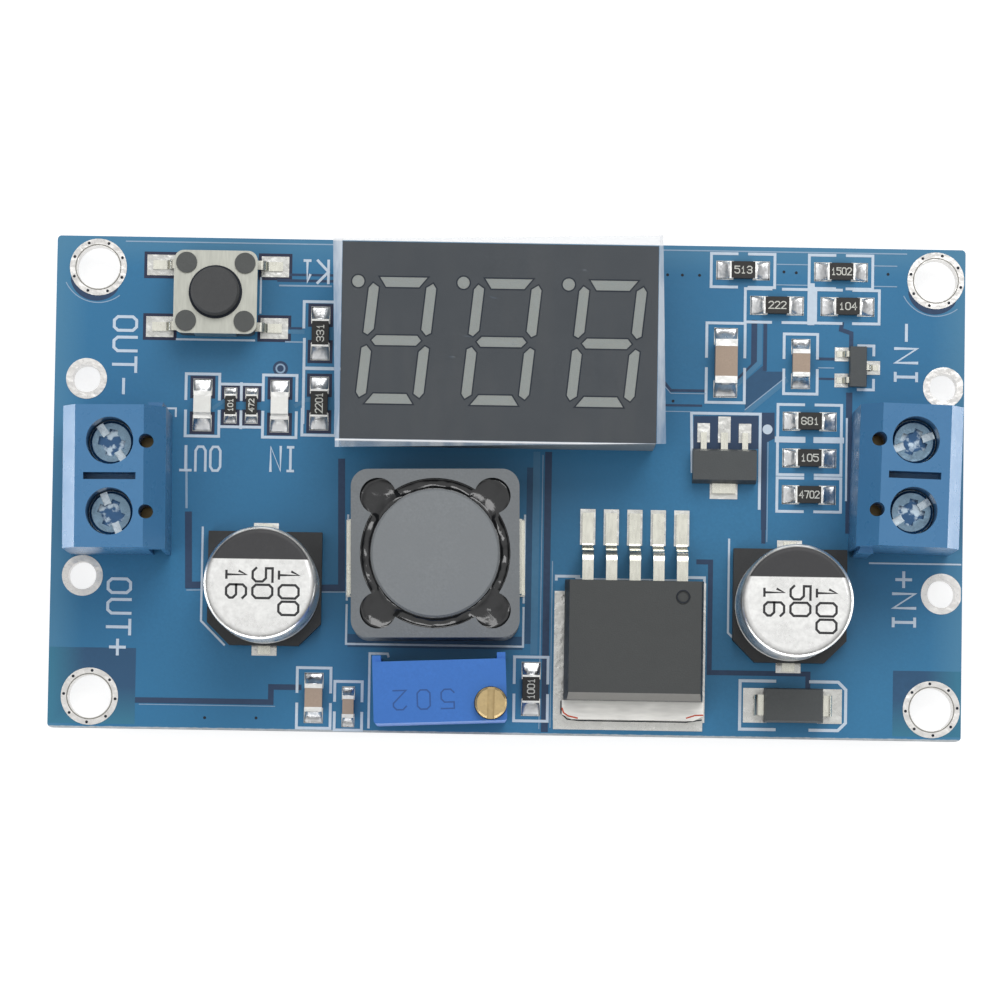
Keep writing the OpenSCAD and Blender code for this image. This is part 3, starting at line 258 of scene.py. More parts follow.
# strokes of each letter on a grid 4 wide and 6 high
STROKES = {
    "0": ["01 05 16 36 45 41 30 10 01"],
    "1": ["14 26 20", "10 30"],
    "2": ["05 16 36 45 44 00 40"],
    "3": ["05 16 36 45 44 33 13", "33 42 41 30 10 01"],
    "4": ["30 36 02 42"],
    "5": ["46 06 04 34 43 41 30 10 01"],
    "6": ["45 36 16 05 01 10 30 41 42 33 03"],
    "7": ["06 46 20"],
    "8": ["13 04 05 16 36 45 44 33 13 02 01 10 30 41 42 33"],
    "I": ["16 36", "26 20", "10 30"],
    "K": ["06 00", "46 03 40"],
    "N": ["00 06 40 46"],
    "O": ["01 05 16 36 45 41 30 10 01"],
    "T": ["06 46", "26 20"],
    "U": ["06 01 10 30 41 46"],
    "+": ["03 43", "21 25"],
}
GLYPH_W, GLYPH_H, GLYPH_PITCH = 4, 6, 6


def word_length(words, height, pitch=GLYPH_PITCH, squeeze=1.0):
    return ((len(words) - 1) * pitch + GLYPH_W) * height / GLYPH_H * squeeze


def letters(piece, words, place, height, angle, stroke, low, high, pitch=GLYPH_PITCH, squeeze=1.0, mid=True):
    """Strokes of a word, turned about its place: its middle, or else its lower left corner."""
    scale = height / GLYPH_H
    if mid:
        dx, dy = turned(-word_length(words, height, pitch, squeeze) / 2, -height / 2, angle)
        place = (place[0] + dx, place[1] + dy)
    for number, letter in enumerate(words):
        for run in STROKES[letter]:
            points = []
            for point in run.split():
                x, y = (int(point[0]) + number * pitch) * scale * squeeze, int(point[1]) * scale
                dx, dy = turned(x, y, angle)
                points.append((place[0] + dx, place[1] + dy))
            piece.line(points, stroke, low, high)


# ------ helpers: materials

def rgb(r, g, b):
    """A colour as seen on a screen, 0 to 255 each, as light."""
    def light(c):
        return c / 255 / 12.92 if c <= 10 else ((c / 255 + 0.055) / 1.055) ** 2.4

    return light(r), light(g), light(b), 1.0


def shade(colour, factor):
    return tuple(min(1.0, c * factor) for c in colour[:3]) + (1.0,)


class Graph:
    """Shader nodes of a material or of the world."""

    def __init__(self, owner):
        owner.use_nodes = True
        self.tree = owner.node_tree

    def node(self, kind, **settings):
        made = self.tree.nodes.new(kind)
        for key, value in settings.items():
            setattr(made, key, value)
        return made

    def link(self, source, target):
        self.tree.links.new(source, target)

    def feed(self, target, value):
        if isinstance(value, (int, float, tuple)):
            target.default_value = value
        else:
            self.link(value, target)

    def ramp(self, value, low, high, to_low=0.0, to_high=1.0):
        made = self.node("ShaderNodeMapRange")
        for socket, end in zip(("From Min", "From Max", "To Min", "To Max"), (low, high, to_low, to_high)):
            self.feed(made.inputs[socket], end)
        self.link(value, made.inputs["Value"])
        return made.outputs["Result"]

    def math(self, operation, a, b):
        made = self.node("ShaderNodeMath", operation=operation)
        self.feed(made.inputs[0], a)
        self.feed(made.inputs[1], b)
        return made.outputs[0]

    def times(self, a, b):
        return self.math("MULTIPLY", a, b)

    def most(self, a, b):
        return self.math("MAXIMUM", a, b)

    def part_of(self, vector, letter):
        made = self.node("ShaderNodeSeparateXYZ")
        self.link(vector, made.inputs[0])
        return made.outputs[letter]


class Look(Graph):
    """A procedural material: one Principled shader and the nodes that feed it.

    The scale of a noise is in features a metre.
    """

    def __init__(self, name, metal=0.0, **sockets):
        self.material = bpy.data.materials.new(name)
        super().__init__(self.material)
        self.shader = self.tree.nodes["Principled BSDF"]
        self.place = self.node("ShaderNodeTexCoord").outputs["Object"]
        self.put("Metallic", metal)
        for socket, value in sockets.items():
            self.put(socket.replace("_", " "), value)

    def noise(self, scale, detail=3.0, stretch=None):
        made = self.node("ShaderNodeTexNoise")
        for socket, value in (("Scale", scale), ("Detail", detail), ("Roughness", 0.55)):
            made.inputs[socket].default_value = value
        self.link(self.stretched(stretch) if stretch else self.place, made.inputs["Vector"])
        return made.outputs["Fac"]

    def stretched(self, stretch):
        made = self.node("ShaderNodeMapping")
        made.inputs["Scale"].default_value = stretch
        self.link(self.place, made.inputs["Vector"])
        return made.outputs["Vector"]

    def drawn_out(self, value, to_low=0.0, to_high=1.0):
        """A noise, most of which lies between 0.3 and 0.7, drawn out over a range."""
        return self.ramp(value, 0.3, 0.7, to_low, to_high)

    def mix(self, factor, a, b):
        made = self.node("ShaderNodeMix", data_type="RGBA")
        self.link(factor, made.inputs["Factor"])
        self.feed(made.inputs["A"], a)
        self.feed(made.inputs["B"], b)
        return made.outputs["Result"]

    def put(self, socket, value):
        self.feed(self.shader.inputs[socket], value)

    def span(self, value, low, high, to_low=0.0, to_high=1.0):
        """A ramp of a length, between two lengths in millimetres."""
        return self.ramp(value, low * MM, high * MM, to_low, to_high)

    def axis(self, letter):
        return self.part_of(self.place, letter)

    def facing(self, letter):
        return self.part_of(self.node("ShaderNodeNewGeometry").outputs["Normal"], letter)

    def level(self):
        """1 on faces that look up or down, 0 on upright ones."""
        return self.ramp(self.math("ABSOLUTE", self.facing("Z"), 0), 0.4, 0.6)

    def varied(self, colour, spread, grain, patch):
        """A colour with a fine grain and broad patches, lighter and darker by the spread."""
        grains = self.drawn_out(self.noise(grain))
        fine = self.mix(grains, shade(colour, 1 - spread), shade(colour, 1 + spread))
        broad = self.drawn_out(self.noise(patch, 2.0))
        return self.mix(broad, shade(colour, 1 - spread / 2), fine)

    def colour(self, value):
        self.put("Base Color", value)
        return self

    def rough(self, level, spread, scale):
        self.put("Roughness", self.drawn_out(self.noise(scale), level - spread, level + spread))
        return self

    def bump(self, height, distance):
        made = self.node("ShaderNodeBump")
        made.inputs["Strength"].default_value = 1.0
        made.inputs["Distance"].default_value = distance * MM
        self.link(height, made.inputs["Height"])
        self.put("Normal", made.outputs["Normal"])
        return self


def plain_look(name, colour, level, spread=0.06, grain=6000, patch=300, bump=0.004, gloss=0.3, **sockets):
    """Plastic, paint or stone: one colour with its grain, at one level of roughness."""
    look = Look(name, Specular_IOR_Level=gloss, **sockets)
    look.colour(look.varied(colour, spread, grain, patch))
    look.rough(level, 0.06, patch * 3)
    return look.bump(look.noise(grain, 4.0), bump)


def dress(look, *nodes):
    for node in nodes:
        NODES[node].material_slots[0].material = look.material


# ------ materials: board and print

MASK = rgb(49, 117, 160)
MASK_BARE = rgb(50, 88, 122)
# teal is painted light: where light comes through the laminate near the board's edges
MASK_TEAL = rgb(80, 134, 166)
LAMINATE = rgb(186, 193, 198)
INK = rgb(206, 220, 234)


def board_look():
    """Solder mask over copper above and below, and the cut edge of the laminate all round."""
    look = Look("board_mask", Specular_IOR_Level=0.35)
    _, y0, _, x1, y1, _ = box("circuit_board")
    mask = look.varied(MASK, 0.07, 5000, 90)
    clouds = look.ramp(look.noise(45, 2.0), 0.35, 0.7)
    mask = look.mix(look.times(clouds, 0.35), mask, rgb(64, 128, 168))
    # painted light: the mask turns teal towards the short sides and the far edge, where light comes through
    # the laminate
    sides = look.span(look.math("ABSOLUTE", look.axis("X"), 0), x1 - 2.4, x1 - 0.3)
    mask = look.mix(look.times(sides, 0.7), mask, MASK_TEAL)
    far = look.span(look.axis("Y"), y1 - 2.2, y1 - 0.6)
    mask = look.mix(look.times(far, 0.6), mask, MASK_TEAL)
    ragged = look.times(look.noise(1800, 4.0), 0.12 * MM)
    inward = look.math("SUBTRACT", look.axis("Y"), ragged)
    front = look.span(inward, y0 + 0.04, y0 + 0.08, 1.0, 0.0)
    fibres = look.ramp(look.noise(2500, 3.0, stretch=(1, 1, 4)), 0.35, 0.65)
    laminate = look.mix(fibres, LAMINATE, shade(LAMINATE, 0.8))
    mask = look.mix(front, mask, laminate)
    level = look.level()
    look.colour(look.mix(level, laminate, mask))
    look.put("Roughness", look.ramp(level, 0, 1, 0.75, 0.34))
    return look.bump(look.noise(1400, 4.0), 0.012)


BOARD = board_look()
dress(BOARD, "circuit_board")
SILK = plain_look("printed_ink", INK, 0.6, spread=0.05, grain=4000, patch=500, bump=0.003)
GAP = plain_look("mask_over_laminate", rgb(50, 72, 102), 0.35, spread=0.12, grain=3000, patch=300)
CLEAR = plain_look("bare_laminate_round_pads", rgb(46, 52, 76), 0.4, spread=0.14, grain=3000, patch=400)


def bare_look():
    """Mask over laminate alone: dark, and teal towards the board's edges where light comes through."""
    look = Look("mask_without_copper", Specular_IOR_Level=0.3)
    _, y0, _, x1, _, _ = box("circuit_board")
    sides = look.span(look.math("ABSOLUTE", look.axis("X"), 0), x1 - 2.6, x1 - 0.3)
    front = look.span(look.axis("Y"), y0 + 0.4, y0 + 3.0, 1.0, 0.0)
    edge = look.times(look.most(sides, front), 0.75)
    look.colour(look.mix(edge, look.varied(MASK_BARE, 0.08, 3000, 120), rgb(62, 130, 156)))
    look.rough(0.35, 0.06, 360)
    return look.bump(look.noise(3000, 4.0), 0.004)


BARE = bare_look()
TRACE = plain_look("mask_over_trace", rgb(78, 130, 166), 0.34, spread=0.05, grain=3000, patch=150)
EDGE = plain_look("trace_edge", rgb(150, 176, 200), 0.4, spread=0.06, grain=3000, patch=300)
RIM = plain_look("barrel_edge_shade", rgb(128, 126, 118), 0.5, spread=0.15, grain=2500)
# dark of the via holes, also used for painted shade round the switch's button, the regulator's dimple, under
# the tab and round the display's segments
HOLE_AND_SHADE = plain_look("via_hole_and_painted_shade", rgb(28, 34, 44), 0.5, spread=0.1)

# ------ materials: parts


def tinned_look(name, colour, level, ripple, fleck):
    """Bright tin that has flowed and set: soft ripples, small flecks and dull patches."""
    look = Look(name, 1.0)
    flecks = look.times(look.ramp(look.noise(9000, 2.0), 0.6, 0.75), fleck)
    look.colour(look.mix(flecks, look.varied(colour, 0.06, 2500, 600), shade(colour, 0.45)))
    look.rough(level, 0.1, 1500)
    return look.bump(look.noise(1300, 2.0), ripple)


def brushed_look(name, colour, level, stretch, lines):
    """Metal with fine lines drawn one way."""
    look = Look(name, 1.0)
    drawn = look.noise(lines, 3.0, stretch=stretch)
    look.colour(look.mix(look.drawn_out(drawn), shade(colour, 0.9), shade(colour, 1.06)))
    look.rough(level, 0.06, 900)
    return look.bump(drawn, 0.003)


PAD = tinned_look("tinned_pad", rgb(214, 214, 210), 0.30, 0.06, 0.45)
LEAD = brushed_look("tinned_lead", rgb(228, 227, 215), 0.28, (1, 0.2, 1), 6000)
SOLDER = tinned_look("bright_solder", rgb(236, 237, 238), 0.34, 0.1, 0.15)
COPPER_CUT = brushed_look("cut_copper", rgb(196, 92, 70), 0.35, (1, 1, 1), 5000)

BLUE = plain_look("terminal_moulding", rgb(67, 122, 168), 0.30, spread=0.04, grain=5000, patch=200,
                  bump=0.006, gloss=0.5)
SMALL_MOULD = plain_look("small_moulding_compound", rgb(81, 84, 85), 0.5, spread=0.08, grain=9000, patch=900,
                         bump=0.010)


def display_look():
    """Dark face, with the paler moulded walls round it."""
    look = Look("display_face", Specular_IOR_Level=0.3)
    level = look.level()
    face = look.varied(rgb(69, 73, 77), 0.05, 5000, 150)
    wall = look.varied(rgb(158, 166, 170), 0.06, 4000, 300)
    look.colour(look.mix(level, wall, face)).rough(0.55, 0.06, 450)
    return look.bump(look.noise(5000, 4.0), 0.004)


SEGMENT = plain_look("segment_epoxy", rgb(152, 155, 151), 0.4, spread=0.04, grain=5000, patch=600,
                     Subsurface_Weight=0.1)
CERAMIC = plain_look("sintered_ceramic", rgb(177, 157, 140), 0.5, spread=0.07, grain=7000, patch=900,
                     bump=0.006)
GLASS = plain_look("resistor_coat", rgb(50, 49, 48), 0.4, spread=0.15, grain=5000, patch=1500, bump=0.010)
GLUE = Look("black_glue", Coat_Weight=0.6, Coat_Roughness=0.03)
GLUE.colour(GLUE.varied(rgb(22, 23, 25), 0.2, 1500, 500)).rough(0.16, 0.08, 800)
GLUE.bump(GLUE.noise(900, 3.0), 0.08)
WHITE_PRINT = plain_look("pale_print", rgb(212, 212, 204), 0.6, spread=0.08, patch=2000, bump=0.002)
DARK_PRINT = plain_look("black_print", rgb(52, 52, 54), 0.5, spread=0.12, grain=4000, patch=400, bump=0.002)
ENGRAVED = plain_look("trimmer_print", rgb(52, 88, 148), 0.5, spread=0.1, grain=4000, patch=500)


def moulding_look():
    """Moulding compound, with the bevel above the tab painted paler as a painted sheen."""
    look = Look("regulator_moulding", Specular_IOR_Level=0.3)
    # painted sheen: faces that look forward and up are painted paler
    forward = look.ramp(look.facing("Y"), -0.45, -0.25, 1.0, 0.0)
    bevel_sheen = look.times(forward, look.ramp(look.facing("Z"), 0.1, 0.2))
    look.colour(look.mix(bevel_sheen, look.varied(rgb(72, 74, 74), 0.08, 9000, 700), rgb(128, 127, 123)))
    look.rough(0.5, 0.06, 2100)
    return look.bump(look.noise(9000, 4.0), 0.012)


# the black mark on a can: from a chord to just short of the can's side, and down its round edge
MARK_CHORD, MARK_MARGIN, MARK_DEPTH = 1.65, 0.19, 0.6
CAN_WHITE = rgb(246, 246, 244)


def can_look(name):
    """Brushed aluminium, with a black mark over the far part of the can's top and its round edge."""
    look = Look(name + "_skin")
    b = box(name)
    (cx, cy), radius = middle(b), (b[3] - b[0]) / 2
    dx = look.math("SUBTRACT", look.axis("X"), cx * MM)
    dy = look.math("SUBTRACT", look.axis("Y"), cy * MM)
    away = look.math("SQRT", look.math("ADD", look.times(dx, dx), look.times(dy, dy)), 0)
    rim = radius - MARK_MARGIN
    mark = look.times(look.span(away, rim - 0.05, rim, 1.0, 0.0),
                      look.span(dy, MARK_CHORD - 0.02, MARK_CHORD + 0.02))
    lowest = b[5] - MARK_DEPTH
    mark = look.times(mark, look.span(look.axis("Z"), lowest - 0.1, lowest))
    drawn = look.noise(3000, 3.0, stretch=(1, 1, 0.1))
    skin = look.mix(look.drawn_out(drawn), shade(CAN_WHITE, 0.9), shade(CAN_WHITE, 1.06))
    look.colour(look.mix(mark, skin, look.varied(rgb(54, 54, 56), 0.12, 4000, 400)))
    look.put("Metallic", look.ramp(mark, 0, 1, 1.0, 0.0))
    grain = look.drawn_out(look.noise(900), 0.24, 0.36)
    look.put("Roughness", look.most(grain, look.times(mark, 0.5)))
    return look.bump(drawn, 0.003)


dress(tinned_look("plated_ring", rgb(230, 228, 225), 0.35, 0.06, 0.5), "plated_holes")
dress(PAD, "surface_pads")
dress(SOLDER, "solder_joints")
dress(BLUE, "left_terminal_housing", "right_terminal_housing")
dress(brushed_look("turned_brass", rgb(198, 175, 130), 0.34, (1, 1, 0.2), 3500),
      "terminal_contacts", "trimmer_screw")
dress(plain_look("black_nylon", rgb(56, 57, 58), 0.55, spread=0.08, bump=0.010),
      "left_capacitor_base", "right_capacitor_base")
dress(plain_look("switch_nylon", rgb(86, 88, 87), 0.55, spread=0.08, bump=0.010), "switch_base")
dress(plain_look("button_nylon", rgb(74, 75, 76), 0.6, spread=0.09, grain=8000, patch=900, bump=0.012),
      "switch_button")
dress(brushed_look("stamped_cover", rgb(187, 188, 179), 0.42, (1, 0.12, 1), 5000), "switch_cover")
dress(LEAD, "switch_legs", "switch_dome", "display_pins", "inductor_terminals", "capacitor_leads",
      "regulator_leads", "trimmer_pins", "diode_leads", "small_regulator_leads", "transistor_leads",
      "meter_chip_leads")
dress(display_look(), "display_housing", "display_backing")
dress(SEGMENT, "display_segments")
dress(plain_look("ferrite_grey", rgb(118, 122, 125), 0.55, spread=0.10, grain=7000, patch=400, bump=0.020),
      "inductor_shield")
dress(plain_look("drum_ferrite", rgb(128, 132, 135), 0.5, spread=0.07, grain=6000, patch=300, bump=0.010),
      "inductor_drum")
dress(brushed_look("enamelled_copper", rgb(176, 104, 60), 0.3, (1, 1, 4), 2500), "inductor_winding")
dress(GLUE, "inductor_glue")
for can in ("left_capacitor_can", "right_capacitor_can"):
    dress(can_look(can), can)
dress(moulding_look(), "regulator_body")
dress(SMALL_MOULD, "diode_body", "small_regulator_body", "transistor_body", "meter_chip_body")
dress(brushed_look("regulator_tab_tin", rgb(240, 239, 234), 0.38, (0.15, 1, 1), 3500), "regulator_tab")
dress(plain_look("trimmer_moulding", rgb(62, 116, 194), 0.5, grain=5000, patch=500, bump=0.010),
      "trimmer_housing")
dress(GLASS, "resistor_bodies")
dress(tinned_look("chip_end", rgb(236, 236, 233), 0.36, 0.05, 0.2),
      "resistor_ends", "ceramic_capacitor_ends", "led_ends")
dress(CERAMIC, "ceramic_capacitor_bodies")
dress(plain_look("lamp_epoxy", rgb(250, 249, 243), 0.35, grain=3000, patch=900, bump=0.02), "led_bodies")

POLES = ("out_minus", "out_plus", "in_minus", "in_plus")


def screw_look():
    """Zinc plate between blue walls: a grey head, a slot painted bright as a painted reflection, a blue cross
    recess with painted glints, and upright faces painted dark as painted shade.
    """
    look = Look("plated_screw_steel", 1.0)
    z, top = look.axis("Z"), box("clamp_screw_" + POLES[0])[5]
    head = look.varied(rgb(126, 152, 172), 0.2, 3000, 1400)
    # painted reflection: below the head's face the slot is painted bright
    slot = look.varied(rgb(206, 220, 230), 0.12, 2500, 1500)
    # painted glints in the cross recess
    painted_glint = look.ramp(look.noise(1500, 3.0), 0.5, 0.62)
    cross = look.mix(painted_glint, rgb(70, 102, 140), rgb(200, 218, 232))
    plate = look.mix(look.span(z, top - 0.3, top - 0.1, 1.0, 0.0), head, slot)
    plate = look.mix(look.span(z, top - 0.75, top - 0.6, 1.0, 0.0), plate, cross)
    # painted shade: upright faces are painted dark
    wall = look.ramp(look.math("ABSOLUTE", look.facing("Z"), 0), 0.3, 0.6, 0.85, 0.0)
    look.colour(look.mix(wall, plate, rgb(36, 50, 68)))
    look.rough(0.26, 0.08, 1500)
    return look.bump(look.noise(1100, 2.0), 0.05)


SCREW = screw_look()
for pole in POLES:
    dress(SCREW, "clamp_screw_" + pole, "wire_clamp_" + pole)


def film_look():
    """Clear film, pale partly by its own tint and partly by painted reflection: almost nothing over the face,
    pale past its sides in painted streaks of reflection, whitest past its far edge and at its front edge,
    where a painted highlight runs along the hem.
    """
    look = Look("protective_film", Specular_IOR_Level=0.3)
    x0, y0, _, x1, y1, _ = box("display_housing")
    x, y = look.axis("X"), look.axis("Y")

    def beyond(value, edge, sign):
        """1 past an edge of the display, on the side of the sign, and 0 on the other."""
        low, high = sorted((edge - sign * 0.006, edge + sign * 0.06))
        return look.span(value, low, high, *((0.0, 1.0) if sign > 0 else (1.0, 0.0)))

    sides = look.most(beyond(x, x0, -1), beyond(x, x1, 1))
    above, below = beyond(y, y1, 1), beyond(y, y0, -1)
    # painted highlight: a thin white line along the film's front hem
    hem_highlight = look.times(below, look.span(y, y0 - 0.22, y0 - 0.12))
    # painted reflection: pale streaks past the film's sides, weaker on its right half
    reflection_streak = look.ramp(look.noise(700, 4.0, stretch=(1, 0.15, 1)), 0.45, 0.62)
    right = look.span(x, -0.5, 0.5, 1.0, 0.56)
    band = look.times(look.ramp(reflection_streak, 0, 1, 0.84, 0.98), right)
    scratch = look.ramp(look.noise(1500, 3.0, stretch=(0.25, 1, 1)), 0.7, 0.78, 0.015, 0.22)
    alpha = look.most(scratch, look.times(sides, band))
    alpha = look.most(alpha, look.times(below, 0.3))
    alpha = look.most(alpha, look.times(hem_highlight, 0.85))
    look.put("Alpha", look.most(alpha, look.times(above, 0.3)))
    # the film's pale colour: partly its own tint, partly painted reflection
    pale_reflection = look.mix(reflection_streak, rgb(150, 172, 196), rgb(216, 224, 232))
    look.colour(look.mix(look.most(above, hem_highlight), pale_reflection, rgb(244, 246, 249)))
    look.rough(0.25, 0.08, 500)
    return look.bump(look.noise(300, 3.0), 0.04)


dress(film_look(), "display_film")

# ------ board print

silk, clear, gaps, bare, traces, edges, dots, rims = (Piece() for _ in range(8))
LINE_W, LABEL_W = 0.2, 0.21
PADS = [b for b in solids("surface_pads") if b[2] > BOTTOM]
board = box("circuit_board")


def ink(points, width=LINE_W):
    """A printed line, kept on the board at its front edge."""
    lowest = board[1] + width / 2 + 0.02
    silk.line([(x, max(y, lowest)) for x, y in points], width, LOW, SILK_TOP)


def ink_words(words, centre, height, angle, stroke=LABEL_W, squeeze=1.0):
    letters(silk, words, centre, height, angle, stroke, LOW, SILK_TOP, squeeze=squeeze)


def gap(points, width):
    gaps.line(points, width, LOW, GAP_TOP)


def trace(points, width):
    traces.line(points, width, LOW, TRACE_TOP)


def bright(points, width=0.07):
    edges.line(points, width, LOW, EDGE_TOP)


# a dark clearance round each pad of the group left of the display
CLEARANCE, CLEAR_STEP = 0.22, 0.0004
GROUP_X, GROUP_Y = -11, 2
for number, pad in enumerate(b for b in PADS if middle(b)[0] < GROUP_X and middle(b)[1] > GROUP_Y):
    clear.slab(pad[0] - CLEARANCE, pad[1] - CLEARANCE, pad[3] + CLEARANCE, pad[4] + CLEARANCE,
               LOW, TONE_TOP + 0.003 + (number % LAYERS) * CLEAR_STEP)


# distances of a chip's printed brackets from its pads, and the opening between the two
FRAME_END, FRAME_SIDE, FRAME_OPEN = 0.36, 0.53, 0.9


def chip_frame(area, ends=(-1, 1)):
    """Printed brackets round the ends of a chip's pads, open in the middle of its long sides."""
    axis = 0 if area[3] - area[0] > area[4] - area[1] else 1
    low, high = area[1 - axis] - FRAME_SIDE, area[4 - axis] + FRAME_SIDE
    for way in ends:
        tip = area[axis + 3] + FRAME_END if way > 0 else area[axis] - FRAME_END
        stop = middle(area)[axis] + way * FRAME_OPEN / 2
        bracket = [(stop, low), (tip, low), (tip, high), (stop, high)]
        ink([(y, x) for x, y in bracket] if axis else bracket)


RESISTORS = solids("resistor_bodies")
CERAMICS = solids("ceramic_capacitor_bodies")
LEDS = solids("led_bodies")
RESISTOR_LONG = 1.3
MAIN_RESISTORS = [b for b in RESISTORS if long_side(b) > RESISTOR_LONG]
# a chip's pads have their middles no further than this past its ends
PAD_REACH = 1.05


def pads_of(body):
    return union(near(PADS, middle(body), long_side(body) * 0.5 + PAD_REACH))


def front_to_far(boxes):
    return sorted(boxes, key=lambda b: b[1])


# the two resistors by the display share the line between them
COLUMN = front_to_far(b for b in MAIN_RESISTORS if abs(middle(b)[0] + 13.6) < 0.8 and middle(b)[1] > 0)
for body in MAIN_RESISTORS + CERAMICS + LEDS:
    chip_frame(pads_of(body), ((-1,), (1,))[COLUMN.index(body)] if body in COLUMN else (-1, 1))

# the frame shared by the two small resistors between the lamps
small = union([pads_of(b) for b in RESISTORS if b not in MAIN_RESISTORS])
for y in (small[4] + 0.25, small[1] - 0.25):
    ink([(small[0] - 0.2, y), (small[3] + 0.2, y)])
x, y = middle(small)
for step in (-1, 1):
    ink([(x, y + step * 0.45), (x, y + step * 1.6)])

# places of the record's bolt pattern in millimetres: the two far holes, then the two in front
mount = frame["record"]["mounts"][0]
x, y = (v / MM for v in mount["pos_m"][:2])
dx, dy = (mount["dims"]["spacing_%s_mm" % letter] / 2 for letter in "xy")
HOLES = [(x + i * dx, y + j * dy) for j in (1, -1) for i in (-1, 1)]
RING_R, DOT_R, DOT_CIRCLE, DOTS = 2.05, 0.11, 1.87, 8
RIM_R, RIM_W = 1.6, 0.07
# the copper gap round each far hole swells from its ends to its middle
SWELL_STEPS, SWELL_W, THIN_W = 32, 0.4, 0.02
for number, (x, y) in enumerate(HOLES):
    rims.ring(x, y, RIM_R, RIM_R + RIM_W, TOP, RING_TOP)
    if number < 2:
        turns = [math.radians(200 + 115 * i / SWELL_STEPS) for i in range(SWELL_STEPS + 1)]
        outer = []
        for i, t in enumerate(turns):
            reach = RING_R + THIN_W + SWELL_W * math.sin(math.pi * i / SWELL_STEPS) ** 0.6
            outer += round_points(x, y, reach, [t])
        gaps.band(round_points(x, y, RING_R, turns), outer, LOW, GAP_TOP, whole=False)
        edges.ring(x, y, RING_R + 0.5, RING_R + 0.57, LOW, EDGE_TOP, 206, 308)
    turns = [math.radians(45 * k + 22 + 9 * number) for k in range(DOTS)]
    for place in round_points(x, y, DOT_CIRCLE, turns):
        dots.disc(*place, DOT_R, TOP, RING_TOP, 10)

# the board's front corners, bare round their holes
CORNERS = ((board[0] + 0.02, -26.7, -12.05), (board[3] - 4.95, board[3] - 0.02, -12.8))
for (x0, x1, y1), hole in zip(CORNERS, HOLES[2:]):
    bare.holed_slab(x0, board[1] + 0.3, x1, y1, hole, RING_R - 0.02, LOW, TONE_TOP + 0.002)

# thin bright lines where the copper stops short of the far edge
far = board[4] - 0.35
for start, end in ((-28.0, -13.0), (11.0, 28.7)):
    bright([(start, far), (end, far)], 0.09)

# ---- names of the terminals, reading along the short edges
LABEL_H, LABEL_SQUEEZE = 1.62, 0.92
LEFT_X, RIGHT_X = -28.05, 28.75
ink_words("OUT", (LEFT_X + 0.1, 10.0), LABEL_H, -90, LABEL_W, LABEL_SQUEEZE)
ink([(LEFT_X + 0.05, 7.42), (LEFT_X + 0.05, 6.44)], LABEL_W)
ink_words("OUT", (LEFT_X + 0.05, -9.05), LABEL_H, -90, LABEL_W, LABEL_SQUEEZE)
ink_words("+", (LEFT_X, -12.0), 1.5, 0)
ink_words("IN", (RIGHT_X, 9.3), 1.55, 90)
ink([(RIGHT_X, 11.2), (RIGHT_X, 12.3)], LABEL_W)
ink_words("IN", (RIGHT_X + 0.05, -8.52), 1.55, 90)
ink_words("+", (RIGHT_X, -6.2), 1.5, 0)

# ---- switch
cover = box("switch_cover")
x, y = cover[3], cover[1]
ink([(cover[0] + 0.1, y - 0.14), (x - 0.3, y - 0.14)], 0.14)
ink([(x + 0.12, y + 1.9), (x + 0.12, cover[4] - 1.6)], 0.14)
ink_words("K1", (-14.25, 15.5), 1.6, 180, 0.19, 0.72)
gap([(x + 2.2, 15.25), (-12.2, 15.25)], 0.18)
gap([(x + 1.4, 14.82), (-12.2, 14.82)], 0.2)
bright([(x + 1.5, 14.45), (-13.1, 14.45)], 0.12)
gap([(x + 2.2, 11.35), (-15.2, 11.35)], 0.16)
bright([(x + 2.0, 10.35), (-15.1, 10.35)], 0.1)
trace([(x + 2.2, 11.1), (-15.1, 11.1)], 0.3)

# ---- column of two resistors by the display
ink([(-14.95, 10.55), (-14.95, 4.5)])
ink([(-14.9, 8.45), (-12.3, 8.45)], 0.24)

# ---- lamps: a test point above the second, names below both
lamp_a, (x, y) = (middle(b) for b in LEDS)
gaps.disc(x, y + 2.75, 0.55, LOW, GAP_TOP)
edges.ring(x, y + 2.75, 0.24, 0.36, LOW, EDGE_TOP, steps=24)
for word, place in (("OUT", (-22.32, 1.76)), ("IN", (-16.34, 1.82))):
    ink_words(word, place, 1.72, 180, 0.18, 0.625)
trace([(x + 1.2, y + 0.1), (x + 1.9, y + 0.5), (-14.2, y + 0.5)], 0.28)
trace([(lamp_a[0] + 0.8, lamp_a[1] - 0.2), (lamp_a[0] + 1.5, lamp_a[1] + 0.3)], 0.25)

# ---- resistors of the far right
ink([(21.8, 12.45), (21.8, 15.0)], 0.5)
VIAS = ((11.35, 15.7), (12.42, 15.7), (13.67, 15.7), (19.8, 16.05), (20.7, 16.0), (27.37, 16.0), (11.87, 6.5),
        (-21.65, -17.0), (-17.94, -16.96))
for place in VIAS:
    dots.disc(*place, DOT_R, LOW, GAP_TOP, 10)
for y in (16.6, 15.1):
    bright([(19.3, y), (21.5, y)])
    bright([(26.3, y), (28.0, y)])
gap([(17.7, 12.3), (17.7, 9.2), (16.5, 8.0)], 0.42)
gap([(18.5, 12.3), (18.5, 8.95)], 0.28)
